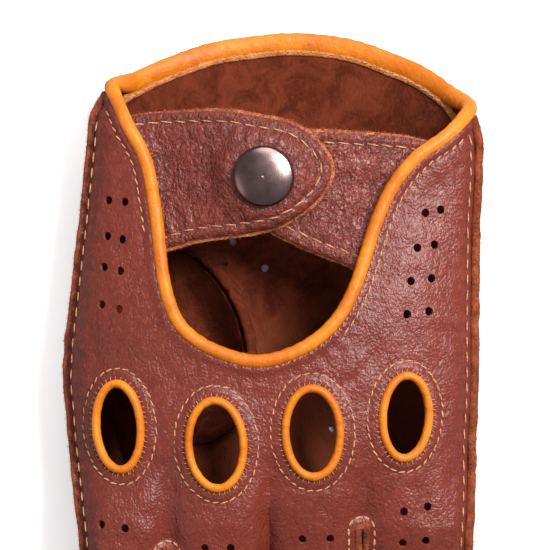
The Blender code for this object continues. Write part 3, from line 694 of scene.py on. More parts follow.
def gunmetal(name, colour=(0.170, 0.110, 0.107), rough=0.2):
    """Plated metal with a faint haze and a few scratches."""
    look = Finish(name, Metallic=1.0)
    haze = look.cloud(4.5, 4, 0.6)
    speck = look.cloud(0.25, 3, 0.6)
    scratch = look.cloud(1.0, 3, 0.7, place=look.stretched(0.3, 4.0, 1.0, 0.5))
    base = haze.ramp(0.3, 0.7).blend(colour, scaled(colour, 1.35))
    base = (scratch.ramp(0.70, 0.78) * 0.12).blend(base, scaled(colour, 2.0))
    look.feed("Base Color", base)
    look.feed("Roughness", rough + 0.10 * haze + 0.10 * scratch.ramp(0.62, 0.75))
    look.relief((haze, 0.02), (speck, 0.006))
    return look.material


NAPPA = body_leather("body_leather")
STRAP_NAPPA = body_leather("strap_leather", coarse=0.6, tone=1.15)
FLESH = suede("suede_flesh_side")
SIDE_SUEDE = suede("fourchette_suede", 1.6)
RAW = raw_edge("raw_body_edge", (0.17, 0.033, 0.013), (0.32, 0.080, 0.032))
STRAP_RAW = raw_edge("raw_strap_edge", (0.34, 0.085, 0.034), (0.66, 0.24, 0.10))
TAN = binding("tan_binding")
THREAD = thread("tan_thread")
FIBRE = raw_edge("loose_fibres", (0.34, 0.09, 0.04), (0.56, 0.20, 0.09))
FLANGE = raw_edge("binding_raw_flange", (0.50, 0.15, 0.035), (0.68, 0.27, 0.09))
DITCH_THREAD = thread("binding_thread", (0.45, 0.18, 0.06))
METAL = gunmetal("gunmetal_snap")
INNER_METAL = gunmetal("plain_snap_metal", (0.32, 0.30, 0.27), 0.3)


# ---------------------------------------------------------------- piece making
def new_piece(name, made, looks, angle=SHARP):
    """An object made from a bmesh, which is freed."""
    mesh = bpy.data.meshes.new(name)
    made.to_mesh(mesh)
    made.free()
    for look in looks:
        mesh.materials.append(look)
    mesh.shade_smooth()
    mesh.set_sharp_from_angle(angle=math.radians(angle))
    thing = bpy.data.objects.new(name, mesh)
    bpy.context.scene.collection.objects.link(thing)
    return thing


def points_of(mesh):
    co = np.empty(len(mesh.vertices) * 3)
    mesh.vertices.foreach_get("co", co)
    return co.reshape(-1, 3)


def set_points(mesh, co):
    mesh.vertices.foreach_set("co", np.asarray(co, np.float32).ravel())
    mesh.update()


def punch(name, outlines):
    """One cutter with every outline as a plug."""
    made = bmesh.new()
    for outline in outlines:
        face = made.faces.new([made.verts.new((x, y, -CUTTER_DEPTH / 2)) for x, y in outline])
        raised = bmesh.ops.extrude_face_region(made, geom=[face])["geom"]
        top = [v for v in raised if isinstance(v, bmesh.types.BMVert)]
        bmesh.ops.translate(made, verts=top, vec=(0, 0, CUTTER_DEPTH))
    bmesh.ops.recalc_face_normals(made, faces=made.faces)
    mesh = bpy.data.meshes.new(name)
    made.to_mesh(mesh)
    made.free()
    thing = bpy.data.objects.new(name, mesh)
    bpy.context.scene.collection.objects.link(thing)
    return thing


def cut_sheet(name, low, high, step, looks, keep=None, remove=(), thickness=LEATHER):
    """Leather cut out flat, its outer side up at z 0.

    looks are its outer side, flesh side and cut edge. keep is its outline, and remove holds groups of
    holes. The holes of one group don't overlap.
    """
    made = bmesh.new()
    wide, long = high[0] - low[0], high[1] - low[1]
    columns, rows = max(2, round(wide / step)), max(2, round(long / step))
    bmesh.ops.create_grid(made, x_segments=columns, y_segments=rows, size=0.5)
    bmesh.ops.scale(made, verts=made.verts, vec=(wide, long, 1))
    middle = ((high[0] + low[0]) / 2, (high[1] + low[1]) / 2, 0)
    bmesh.ops.translate(made, verts=made.verts, vec=middle)
    sheet = new_piece(name, made, looks)
    solid = sheet.modifiers.new("thickness", "SOLIDIFY")
    solid.thickness, solid.offset = thickness, -1
    cuts = [("DIFFERENCE", group) for group in remove]
    if keep is not None:
        cuts.insert(0, ("INTERSECT", [keep]))
    tools = []
    for operation, outlines in cuts:
        cut = sheet.modifiers.new(operation, "BOOLEAN")
        cut.operation, cut.solver, cut.object = operation, "EXACT", punch("cutter", outlines)
        tools.append(cut.object)
    bpy.context.view_layer.update()
    done = bpy.data.meshes.new_from_object(sheet.evaluated_get(bpy.context.evaluated_depsgraph_get()))
    sheet.modifiers.clear()
    sheet.data = done
    for tool in tools:
        bpy.data.objects.remove(tool)
    made = bmesh.new()
    made.from_mesh(done)
    made.normal_update()
    for face in made.faces:
        face.material_index = 0 if face.normal.z > 0.5 else 1 if face.normal.z < -0.5 else 2
    bmesh.ops.triangulate(made, faces=[f for f in made.faces if len(f.verts) > 4])
    made.to_mesh(done)
    made.free()
    return sheet


def lay(sheet, surface, relief=None, up=1, stand=0.0, inner_relief=0.35):
    """Lays a flat sheet on surface(a, b), or stand mm below it.

    Its outer side goes on the surface and its flesh side behind. up is -1 where the surface's normal points
    into the glove. inner_relief is how much of the relief shows on the flesh side.
    """
    mesh = sheet.data
    co = points_of(mesh)
    a, b, deep = co.T
    n = facing(surface, a, b) * up
    p = surface(a, b)
    h = np.zeros(len(a))
    if relief is not None:
        h = relief(p[:, 0], p[:, 1]) * np.where(deep < -0.1, inner_relief, 1.0)
    p = p + n * (h + deep - stand)[:, None]
    set_points(mesh, p * MM)
    if up < 0:
        made = bmesh.new()
        made.from_mesh(mesh)
        bmesh.ops.reverse_faces(made, faces=made.faces)
        made.to_mesh(mesh)
        made.free()
    mesh.shade_smooth()
    mesh.set_sharp_from_angle(angle=math.radians(SHARP))


def wrap_shell(name, nu, nv, surface, looks, inside, thickness=LEATHER, closed=False):
    """A thin shell from surface(u, v), where u and v are arrays from 0 to 1.

    inside(point) gives the middle that the shell closes round.
    """
    made = bmesh.new()
    bmesh.ops.create_grid(made, x_segments=nu, y_segments=nv, size=0.5)
    made.verts.ensure_lookup_table()
    uv = np.array([(v.co.x + 0.5, v.co.y + 0.5) for v in made.verts])
    p = surface(uv[:, 0], uv[:, 1])
    for v, co in zip(made.verts, p * MM):
        v.co = co
    if closed:
        bmesh.ops.remove_doubles(made, verts=made.verts, dist=1e-6)
    made.normal_update()
    lean = 0.0
    for f in made.faces:
        m = np.array(f.calc_center_median()) / MM
        lean += float(np.dot(f.normal, m - inside(m))) * f.calc_area()
    if lean < 0:
        bmesh.ops.reverse_faces(made, faces=made.faces)
    made.normal_update()
    if thickness:
        outer = list(made.faces)
        result = bmesh.ops.solidify(made, geom=outer, thickness=thickness * MM)
        keep = set(outer)
        made.normal_update()
        if len(looks) > 1:
            for f in result["geom"]:
                if isinstance(f, bmesh.types.BMFace):
                    f.material_index = 1
            for f in made.faces:
                if f not in keep and f.material_index == 0:
                    f.material_index = 1
    return new_piece(name, made, looks, 50)


def sewn(name, look, of):
    """One piece made of many: each function in of adds to the same mesh."""
    made = bmesh.new()
    for work in of:
        work(made)
    bmesh.ops.scale(made, verts=made.verts, vec=(MM, MM, MM))
    return new_piece(name, made, [look], 80)


def tube(path, normals, wide, high, closed=False, lift=0.0, sides=14, soft=0.0, seed=0, square=1.0):
    """A roll or strip of leather along a path, flattened onto the surface whose normals are given.

    square below 1 gives it flat faces, and soft is how much its width varies. It stores how far along and
    around each point is, in mm. On a closed tube, the length along runs out and back, so it has no step.
    """
    path, normals = np.asarray(path, float), np.asarray(normals, float)
    n = len(path)
    wide, high = np.broadcast_to(wide, n), np.broadcast_to(high, n)
    rng = np.random.default_rng(seed)
    tangents = (np.roll(path, -1, 0) - np.roll(path, 1, 0)) if closed else np.gradient(path, axis=0)
    tangents = tangents / np.linalg.norm(tangents, axis=1)[:, None]
    d = np.concatenate([[0], np.cumsum(np.linalg.norm(np.diff(path, axis=0), axis=1))])
    most = max(4, int(d[-1] / 2.5))
    waves = sum(
        np.sin(2 * math.pi * rng.integers(2, most) * d / d[-1] + rng.uniform(0, 6.3)) for _ in range(7)
    )
    waves = waves / 4
    turn = np.linspace(0, 2 * math.pi, sides, endpoint=False)
    round_x = np.sign(np.cos(turn)) * np.abs(np.cos(turn)) ** square
    round_y = np.sign(np.sin(turn)) * np.abs(np.sin(turn)) ** square

    def work(made):
        length = made.verts.layers.float.get("length") or made.verts.layers.float.new("length")
        around = made.verts.layers.float.get("around") or made.verts.layers.float.new("around")
        first = previous = None
        every = []
        for k in range(n):
            t, m = Vector(tangents[k]), Vector(normals[k])
            across = t.cross(m).normalized()
            m = across.cross(t).normalized()
            swell = 1 + soft * waves[k]
            ring = []
            for j in range(sides):
                beside, above = round_x[j] * wide[k] * swell, round_y[j] * high[k] * swell + lift
                v = made.verts.new(Vector(path[k]) + across * beside + m * above)
                v[length] = float(min(d[k], d[-1] - d[k]) if closed else d[k])
                v[around] = float(turn[j] * wide[k])
                ring.append(v)
            edges = [made.edges.new((ring[j], ring[(j + 1) % sides])) for j in range(sides)]
            if previous:
                every += bmesh.ops.bridge_loops(made, edges=previous + edges)["faces"]
            else:
                first = edges
            previous = edges
        if closed:
            every += bmesh.ops.bridge_loops(made, edges=previous + first)["faces"]
        else:
            every += bmesh.ops.holes_fill(made, edges=first + previous, sides=0)["faces"]
        bmesh.ops.recalc_face_normals(made, faces=every)

    return work


def row(path, normals, pitch, length, radius, closed=False, sink=0.12, slant=0.0, seed=0):
    """A row of thread stitches along a path: each dives into the leather at both ends."""
    rng = np.random.default_rng(seed)
    joined = spaced(np.hstack([path, normals]), pitch / 4, closed)
    p, n = joined[:, :3], joined[:, 3:]

    def work(made):
        for k in range(2, len(p) - (0 if closed else 2), 4):
            t = Vector(p[(k + 1) % len(p)] - p[k - 1]).normalized()
            m = Vector(n[k]).normalized()
            across = m.cross(t).normalized()
            m = t.cross(across).normalized()
            t = (t + across * (slant + rng.normal(0, 0.04))).normalized()
            across = m.cross(t).normalized()
            centre = Vector(p[k]) + m * (radius * 0.55 - sink) + across * rng.normal(0, 0.04)
            half = length / 2 * rng.normal(1, 0.05)
            place = Matrix((across * radius, m * radius * 0.85, t * half)).transposed().to_4x4()
            place.translation = centre
            bmesh.ops.create_uvsphere(made, u_segments=6, v_segments=7, radius=1.0, matrix=place)

    return work


def fibres(path, normals, outward, count, reach=0.9, seed=0):
    """Loose fibres along a raw edge."""
    rng = np.random.default_rng(seed)

    def work(made):
        for _ in range(count):
            k = int(rng.integers(0, len(path)))
            way = Vector(outward[k]) + Vector(normals[k]) * rng.normal(0, 0.5)
            way += Vector(rng.normal(0, 0.5, 3))
            way.normalize()
            long = reach * rng.uniform(0.25, 1.0)
            place = way.to_track_quat("Z", "Y").to_matrix().to_4x4()
            root = Vector(path[k]) + Vector(normals[k]) * rng.uniform(-0.4, 0.4)
            place.translation = root + way * long * 0.3 + Vector(rng.normal(0, 0.15, 3))
            bmesh.ops.create_cone(made, segments=3, radius1=0.07, radius2=0.015, depth=long, matrix=place)

    return work


def turned(name, profile, centre, look, steps=96):
    """A turned metal piece from a (radius, z) profile."""
    made = bmesh.new()
    points = [made.verts.new((r, 0, z)) for r, z in profile]
    edges = [made.edges.new(pair) for pair in zip(points, points[1:])]
    about = {"cent": (0, 0, 0), "axis": (0, 0, 1), "dvec": (0, 0, 0), "angle": 2 * math.pi}
    bmesh.ops.spin(made, geom=points + edges, **about, steps=steps, use_merge=True)
    bmesh.ops.remove_doubles(made, verts=made.verts, dist=1e-4)
    bmesh.ops.recalc_face_normals(made, faces=made.faces)
    bmesh.ops.translate(made, verts=made.verts, vec=(*centre, 0))
    bmesh.ops.scale(made, verts=made.verts, vec=(MM, MM, MM))
    return new_piece(name, made, [look], 35)


def eased(profile, per_span=5):
    """A turned profile with soft corners."""
    out = softened(profile, per_span)
    out[:, 0] = np.maximum(out[:, 0], 0)
    return [tuple(p) for p in out]


# ---------------------------------------------------------------- back of the hand
hand_grid = 0.7


def flat(line):
    """A line in plan, laid out on the flat sheet."""
    return np.stack([to_q(line[:, 0], line[:, 1]), line[:, 1]], 1)


u_cut = sideways(spaced(u_line, 1.2), -1.0)
u_cut = np.vstack([[(-60, 140)], u_cut, [(60, 140)]])[::-1]
ring_cuts = [sideways(spaced(line, 1.0, True), 0.7, True) for line in rings.values()]
pin_holes = [oval(x, y, 1.95, 2.15, 0, 14) for x, y in PERFORATIONS]
corner_cuts = [oval(x, y, 4.4, 4.4, 0, 20) for x, y in ((-41.6, 91.6), (50.0, 85.6))]
back_groups = ([u_cut], corner_cuts, [*ring_cuts, *pin_holes], slot_lines)
back_cuts = [[flat(c) for c in group] for group in back_groups]
body = [NAPPA, FLESH, RAW]
back_sheet = cut_sheet(
    "back_leather", (-HALF_Q, JOINT_Y), (HALF_Q, 91.5), hand_grid, body, remove=back_cuts
)
lay(back_sheet, back, back_relief)
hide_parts("back_panel")
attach(back_sheet, "hand")



def round_hole(hole, grow, step):
    """A line round a knuckle hole, grow mm wider and longer than it."""
    _, x, y, wide, long, lean = hole
    return spaced(oval(x, y, wide + grow, long + grow, lean, 120), step, True)


# knuckle-hole bindings, with their small ditch stitches and the ring of topstitch
ditch, topstitch = [], []
for k, hole in enumerate(HOLES):
    name = hole[0]
    p, n = on_back(round_hole(hole, -2.1, 0.6))
    roll = tube(p, n, 1.0, 1.2, closed=True, lift=0.05, sides=18, soft=0.05, seed=k)
    ring = sewn(f"{name}_knuckle_roll", TAN, of=[roll])
    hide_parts(f"{name}_knuckle_binding")
    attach(ring, "hand")
    p, n = on_back(round_hole(hole, 0.45, 0.5), 0.25)
    ditch.append(row(p, n, 1.3, 1.15, 0.12, closed=True, sink=0.0, slant=4.0, seed=40 + k))
    p, n = on_back(round_hole(hole, 2 * RING_STITCH, 0.5))
    topstitch.append(row(p, n, 2.15, 1.75, 0.21, closed=True, sink=-0.1, slant=0.16, seed=50 + k))

# roll round the whole wrist opening: narrow on the back, and a wider band folded over the palm's rim
arms = u_line[u_line[:, 1] < np.where(u_line[:, 0] < 0, 87.5, 81.5)]
rim_line = spaced(softened(RIM), 0.8)
band = sideways(rim_line, -2.35)
band = band[(band[:, 0] > -35.0) & (band[:, 0] < 44.0)][::-1]


def on_palm_inside(line, lift=0.0):
    """3D points and normals on the flesh side of the palm."""
    q = to_q(line[:, 0], line[:, 1])
    n = facing(palm, q, line[:, 1])
    return palm(q, line[:, 1]) + n * (LEATHER + lift), n


upper, upper_n = on_back(arms, -0.15)
lower, lower_n = on_palm_inside(band, -0.5)
left_end, right_end = (-40.0, 91.0, SEAM_Z + 0.8), (48.9, 85.6, SEAM_Z + 0.8)
loop = np.vstack([upper, [right_end], lower, [left_end]])
loop_n = np.vstack([upper_n, [(0.35, 0.5, 0.8)], lower_n, [(-0.35, 0.5, 0.8)]])
wide = np.concatenate([np.full(len(upper), 1.65), [1.9], np.full(len(lower), 2.55), [1.9]])
high = np.concatenate([np.full(len(upper), 1.6), [1.7], np.full(len(lower), 1.45), [1.7]])
both = spaced(np.hstack([loop, loop_n, wide[:, None], high[:, None]]), 0.7, True)
for _ in range(14):
    both = (np.roll(both, 1, 0) + 2 * both + np.roll(both, -1, 0)) / 4
roll = tube(both[:, :3], both[:, 3:6], both[:, 6], both[:, 7], closed=True, sides=22, soft=0.04, seed=9)
wrist_roll = sewn("wrist_roll", TAN, of=[roll])
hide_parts("wrist_binding")
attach(wrist_roll, "hand")
line = spaced(sideways(arms, -1.8), 0.5)
line = line[(line[:, 0] > 0) & (line[:, 1] < 56)]
ditch.append(row(*on_back(line), 1.5, 0.9, 0.17, sink=0.0, slant=0.5, seed=60))
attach(sewn("ditch_stitches", DITCH_THREAD, of=ditch), "hand")
line = spaced(sideways(arms, -U_STITCH), 0.5)
middle, half = side(line[:, 1])
line = line[np.abs(line[:, 0] - middle) < half - 1.2]
for arm in (line[(line[:, 0] < -8) & (line[:, 1] > 54)], line[(line[:, 0] > 8) & (line[:, 1] > 30)]):
    topstitch.append(row(*on_back(arm), 2.35, 1.9, 0.21, sink=-0.1, slant=0.18, seed=61))


# ---------------------------------------------------------------- side seams
def edge_line(edge, inset, low, high, step=0.7):
    """A side edge of the hand from low to high, moved inset to the right."""
    y = np.arange(low, high, step)
    return np.stack([along(edge, y) + inset, y], 1)


def seam_parts(edge, inset, low, high, wide, top, bottom, seed):
    """The raw lips of a side seam: a ragged strip standing on edge, and its loose fibres."""
    line = edge_line(edge, inset, low, high)
    sign = -1 if line[0, 0] < 0 else 1
    y = line[:, 1]
    z = seam_height(sign * np.ones(len(y)), y)
    wave = 0.25 * drift(y, 0 * y, seed, 7) + 0.1 * drift(y, 0 * y, seed + 1, 1.6)
    path = np.stack([line[:, 0] + sign * wave * 0.6, y, z + (top + bottom) / 2 + wave], 1)
    up = np.tile((0.12 * sign, 0, 1.0), (len(y), 1))
    outward = np.tile((sign * 1.0, 0, 0.25), (len(y), 1))
    edge_path = path + np.stack([sign * wide * np.ones(len(y)), 0 * y, 0 * y + (top - bottom) * 0.3], 1)
    lip = tube(path, up, wide, (top - bottom) / 2, sides=12, soft=0.05, seed=seed, square=0.45)
    return lip, fibres(edge_path, up, outward, 700, 0.8, seed)


lips, hairs = [], []
for edge, inset, stitch_inset, top_y, wide, top, seed in (
    (LEFT_EDGE, 0.6, 2.2, 88.5, 0.6, 1.5, 21),
    (RIGHT_EDGE, -1.1, -3.0, 83.0, 1.15, 2.6, 22),
):
    lip, hair = seam_parts(edge, inset, JOINT_Y, top_y, wide, top, -1.4, seed)
    lips.append(lip)
    hairs.append(hair)
    path, n = on_back(edge_line(edge, stitch_inset, JOINT_Y + 0.8, top_y - 3, 0.5))
    topstitch.append(row(path, n, 3.8, 2.5, 0.22, sink=-0.1, slant=0.08, seed=seed))
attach(sewn("side_seam_raw_lips", RAW, of=lips), "hand")
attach(sewn("side_seam_fibres", FIBRE, of=hairs), "hand")

# ---------------------------------------------------------------- palm
rim_cut = sideways(softened(RIM), -0.9)
thumb_turn = np.linspace(0, 2 * math.pi, 72, endpoint=False)


def thumb_plan(s, r):
    """The point in plan that is s along the thumb and r across it."""
    x = THUMB_C[0] + s * THUMB_DIR[0] - r * THUMB_DIR[1]
    y = THUMB_C[1] + s * THUMB_DIR[1] + r * THUMB_DIR[0]
    return np.stack([x, y], -1)


thumb_mouth = thumb_plan(THUMB_HOLE[0] * np.cos(thumb_turn), THUMB_HOLE[1] * np.sin(thumb_turn))
palm_pins = [oval(x, y, 1.75, 1.75, 0, 14) for x, y in PALM_PERFORATIONS]
past_rim = np.vstack([[(-70, 92)], rim_cut, [(70, 84), (60, 140), (-60, 140)]])
palm_cuts = [
    [flat(c) for c in group] for group in ([past_rim], [thumb_mouth], slot_lines, corner_cuts, palm_pins)
]
palm_sheet = cut_sheet(
    "palm_leather", (-HALF_Q, JOINT_Y), (HALF_Q, 104), max(hand_grid, 0.9), body, remove=palm_cuts
)
lay(palm_sheet, palm, palm_relief, up=-1, inner_relief=-0.6)
# painted light on the palm's flesh side: paler below y 20 to 38, towards the knuckle holes and the fingers
painted_light = palm_sheet.data.attributes.new("painted_light", "FLOAT", "POINT")
at = points_of(palm_sheet.data)[:, :2] / MM
painted_light_mask = 1 - smooth(20, 38, at[:, 1] + 3 * drift(at[:, 0], at[:, 1], 4, 18))
painted_light.data.foreach_set("value", painted_light_mask.astype(np.float32))
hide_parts("palm_panel")
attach(palm_sheet, "hand")
# inside the rim: the binding's raw flange and its seam
line = sideways(rim_line, -4.3)
p, n = on_palm_inside(line, 0.2)
flange = tube(p, n, 1.2, 0.4, sides=10, soft=0.08, seed=5, square=0.6)
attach(sewn("rim_flange", FLANGE, of=[flange]), "hand")
line = spaced(sideways(rim_line, -4.55), 0.5)
p, n = on_palm_inside(line, 0.55)
topstitch.append(row(p, n, 2.1, 1.6, 0.2, sink=0.0, slant=0.2, seed=64))
# the thumb's seam inside the palm: its allowance stands up as a raw ridge
line = thumb_plan((THUMB_HOLE[0] - 0.3) * np.cos(thumb_turn), (THUMB_HOLE[1] - 0.3) * np.sin(thumb_turn))
p, n = on_palm_inside(spaced(line, 0.8, True), 0.6)
allowance = tube(p, n, 1.5, 0.9, closed=True, sides=10, soft=0.12, seed=6, square=0.6)
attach(sewn("thumb_seam_allowance", FLESH, of=[allowance]), "hand")


# ---------------------------------------------------------------- fingers
def finger_path(i):
    """Lengths along finger i from the hand: to the end of its base skin, to its rounded end, and in all."""
    _, _, fold_y, tip_y, tip_a = FINGERS[i][:5]
    round_y = tip_y + tip_a * 1.05
    return JOINT_Y - (fold_y + 6.0), JOINT_Y - round_y, JOINT_Y - round_y + (round_y - tip_y) * 1.45


def skin(i, angle, t):
    """A point on finger i's skin, t along it.

    Angle 0 is the side towards the little finger, and a right angle is the back.
    """
    _, _, _, tip_y, tip_a = FINGERS[i][:5]
    round_y = tip_y + tip_a * 1.05
    _, straight, total = finger_path(i)
    phi = np.clip((t - straight) / (total - straight), 0, 1) * 1.545
    y = np.where(t < straight, JOINT_Y - t, round_y + (tip_y - round_y) * np.sin(phi))
    tip = np.cos(phi)
    cx, a, cz, b = finger_at(i, y)
    c, s = np.cos(angle), np.sin(angle)
    x = cx + tip * a * np.sign(c) * np.abs(c) ** (2 / POWER)
    z = cz + tip**0.8 * b * np.sign(s) * np.abs(s) ** (2 / POWER)
    return np.stack([x, y, np.maximum(z, 0.0)], -1)


def corner_at(i, t):
    """Half of the angle that a fourchette takes up."""
    fold = JOINT_Y - FINGERS[i][2]
    _, straight, total = finger_path(i)
    start, end = fold + 0.3 * (straight - fold), straight + 0.55 * (total - straight)
    return CORNER * (1 - 0.93 * smooth(start, end, t))


def strip_ends(i, strip, t):
    """Angles between which a strip lies."""
    first, last = FINGERS[i][8], FINGERS[i][9]
    c = corner_at(i, t)
    near, far = c * last, c * first
    return {
        "back": (near, math.pi - far),
        "palm": (math.pi + far, 2 * math.pi - near),
        "outer_fourchette": (-c, c),
        "inner_fourchette": (math.pi - c, math.pi + c),
    }[strip]


def finger_relief(i, angle, t):
    """Wrinkles across the knuckle fold and slack along the finger."""
    fold = JOINT_Y - FINGERS[i][2]
    total = finger_path(i)[2]
    wrinkles = 0
    for k in (-2, -1, 0, 1, 2):
        at = fold + k * 3.1 + 0.8 * math.sin(k * 2.4 + i)
        wrinkles = wrinkles + -0.22 * groove(at, 0.75, t + 0.7 * np.sin(angle * 3 + k + i))
    calm = smooth(0, 7, t) * (1 - smooth(total - 16, total - 5, t))
    return (wrinkles + 0.22 * drift(t, angle * 7, 31 + i, 13) + 0.08 * drift(t, angle * 7, 41 + i, 4)) * calm


def strip_surface(i, strip):
    """surface(a, t) of a strip, where a is -10 to 10 across it."""

    def surface(a, t):
        low, high = strip_ends(i, strip, t)
        edge = 0.35 / 8
        angle = low + edge + (high - low - 2 * edge) * (a + 10) / 20
        p = skin(i, angle, t)
        out = np.stack([np.cos(angle), 0 * angle, np.sin(angle)], -1)
        return p + out * finger_relief(i, angle, t)[..., None]

    return surface


def welt_line(i, angle_at, t):
    """Path and outward normals along a seam of finger i."""
    angle = angle_at(t)
    p = skin(i, angle, t)
    around = skin(i, angle + 0.04, t) - skin(i, angle - 0.04, t)
    forward = skin(i, angle, t + 0.2) - skin(i, angle, t - 0.2)
    n = np.cross(around, forward)
    return p, n / np.maximum(1e-9, np.linalg.norm(n, axis=1))[:, None]


def seam_angles(i):
    """The angle of each seam of finger i, as functions of t: two at a fourchette, or one side seam."""
    first, last = FINGERS[i][8:]
    signs = [(0.0, sign) for sign in ((1, -1) if last else (0,))]
    signs += [(math.pi, sign) for sign in ((-1, 1) if first else (0,))]
    return [lambda t, middle=middle, sign=sign: middle + sign * corner_at(i, t) for middle, sign in signs]


def beside(i, angle_at, away):
    """The angle of a line away mm beside a seam, as a function of t."""
    straight = finger_path(i)[1]

    def angle(t):
        half_height = finger_at(i, JOINT_Y - np.minimum(t, straight))[3]
        return angle_at(t) + away / np.maximum(4.0, half_height)

    return angle


finger_grid = 0.8
for i, (name, _, fold_y, _, _, _, _, _, first, last) in enumerate(FINGERS):
    middle_t, straight, total = finger_path(i)
    strips = ["back", "palm"] + ["outer_fourchette"] * last + ["inner_fourchette"] * first
    column = [10 * k for k in (-0.28, 0.28)]
    rows_t = [4.5 + 8 * k for k in range(int((straight - 9) / 8) + 1)]
    base, tip = f"{name}_base", f"{name}_tip"
    for part, low_t, high_t, bodies, start_y, end_y in (
        ("base", 0.0, middle_t, ("hand", base), JOINT_Y - 0.2, JOINT_Y - 11.0),
        ("tip", middle_t, total, (base, tip), fold_y + 5.5, fold_y - 5.5),
    ):
        cx, _, cz, b = finger_at(i, (start_y + end_y) / 2)
        start, end = (cx * MM, start_y * MM, cz * MM), (cx * MM, end_y * MM, cz * MM)
        pieces = []
        for strip in strips:
            suede_side = "fourchette" in strip
            looks = [SIDE_SUEDE, FLESH, RAW] if suede_side else body
            grid = 2.0 if suede_side else finger_grid
            pins = []
            if strip == "back":
                rows = [t for t in rows_t if low_t + 1.3 < t < high_t - 1.3 and t < straight]
                pins = [oval(a, t, 1.5, 1.75, 0, 12) for a in column for t in rows]
            groups = [pins] if pins else []
            skin_name = f"{name}_{strip}_{part}_skin"
            sheet = cut_sheet(skin_name, (-10, low_t), (10, high_t), grid, looks, remove=groups)
            lay(sheet, strip_surface(i, strip))
            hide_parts(f"{name}_{strip}_{part}")
            pieces.append(sheet)
        welts, threads, hairs = [], [], []
        edges = seam_angles(i)
        stop = min(high_t, total - 1.5)
        t = np.arange(low_t, stop + 0.01, (stop - low_t) / max(2, round((stop - low_t) / 0.9)))
        for k, angle_at in enumerate(edges):
            p, n = welt_line(i, angle_at, t)
            side_seam = (not last and k == 0) or (not first and k == len(edges) - 1)
            stand, wide, high, reach = (0.9, 0.95, 1.3, 2.1) if side_seam else (0.35, 0.75, 0.95, 1.2)
            seed = 80 + 7 * i + k
            welts.append(tube(p + n * stand, n, wide, high, sides=10, soft=0.06, seed=seed, square=0.55))
            hairs.append(fibres(p + n * reach, n, n, int(4 * (stop - low_t)), 0.6, seed + 10))
            for away in (-1.75, 1.75):
                sewn_t = t[(t > low_t + 0.3) & (t < total - 6)]
                q, m = welt_line(i, beside(i, angle_at, away), sewn_t)
                if len(q) > 4:
                    threads.append(row(q, m, 2.9, 2.1, 0.28, sink=0.02, seed=seed + 20))
        seam = sewn(f"{name}_{part}_welts", RAW, of=welts)
        sew = sewn(f"{name}_{part}_stitches", THREAD, of=threads)
        nap = sewn(f"{name}_{part}_fibres", FIBRE, of=hairs)
        for piece in (*pieces, seam, sew, nap):
            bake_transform(piece)

# crotches: the welts of the two fingers meet round the end of the slot, with suede between them
ridge, hairs = [], []
for k, (name, kx, top) in enumerate(CROTCHES):
    line = spaced(slot_lines[k], 0.5)
    p, n = on_back(line[line[:, 1] > JOINT_Y])
    ridge.append(tube(p + n * -0.15, n, 0.95, 1.1, sides=12, soft=0.06, seed=k, square=0.55))
    hairs.append(fibres(p + n * 0.8, n, n, 60, 0.6, 70 + k))
    line = spaced(sideways(slot_lines[k], -1.75), 0.5)
    p, n = on_back(line[line[:, 1] > JOINT_Y + 0.5])
    topstitch.append(row(p, n, 2.5, 1.9, 0.3, sink=0.0, seed=75 + k))

    def wall(u, v, kx=kx, top=top):
        """Up and round the end of the slot (u), from the palm to the back (v)."""
        r = SLOT_R + 0.1
        length = top - SLOT_R - JOINT_Y
        total = 2 * length + math.pi * SLOT_R
        d = u * total
        bend = np.clip((d - length) / (math.pi * SLOT_R), 0, 1) * math.pi
        x = kx - r * np.cos(bend)
        y = top - SLOT_R + 0.15 + r * np.sin(bend)
        y = y - np.maximum(0, length - d) - np.maximum(0, d - total + length)
        q = to_q(x, y)
        low, high = palm(q, y)[..., 2] + 0.9, back(q, y)[..., 2] - 0.9
        return np.stack([x, y, low + (high - low) * v], -1)

    def slot_middle(m, kx=kx, top=top):
        return np.array((kx, min(m[1], top - SLOT_R), m[2]))

    shell = wrap_shell(f"{name}_crotch_suede", 40, 8, wall, [SIDE_SUEDE], slot_middle, thickness=0)
    bm = bmesh.new()
    bm.from_mesh(shell.data)
    bmesh.ops.reverse_faces(bm, faces=bm.faces)
    bmesh.ops.solidify(bm, geom=list(bm.faces), thickness=-0.9 * MM)
    bmesh.ops.recalc_face_normals(bm, faces=bm.faces)
    bm.to_mesh(shell.data)
    bm.free()
    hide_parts(f"{name}_crotch")
    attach(shell, "hand")
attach(sewn("crotch_welts", RAW, of=ridge), "hand")
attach(sewn("crotch_fibres", FIBRE, of=hairs), "hand")
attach(sewn("hand_topstitches", THREAD, of=topstitch), "hand")


# ---------------------------------------------------------------- thumb
def thumb_place(s, r, z):
    """The point that is s along the thumb, r across it and z high."""
    plan = thumb_plan(s, r)
    return np.stack([plan[..., 0], plan[..., 1], z], -1)


def thumb_middle(s, z):
    return thumb_place(np.array(s), np.array(0.0), np.array(z))


def thumb_ring(s, angle, tip=1.0):
    """The thumb's section s along it. Angle 0 is the side towards the palm, and it turns towards +r."""
    k = np.clip((s - THUMB_JOINT) / THUMB_LENGTH, 0, 1)
    a = THUMB_A[0] + (THUMB_A[1] - THUMB_A[0]) * k
    b = THUMB_B[0] + (THUMB_B[1] - THUMB_B[0]) * k
    c, w = np.cos(angle), np.sin(angle)
    slack = 0.25 * drift(s, angle * 8, 77, 12) * smooth(THUMB_JOINT, THUMB_JOINT + 5, s)
    r = tip * (a + slack) * np.sign(w) * np.abs(w) ** 0.8
    z = b + tip**0.8 * b * np.sign(c) * np.abs(c) ** 0.85
    return thumb_place(s, r, np.maximum(0.0, z))


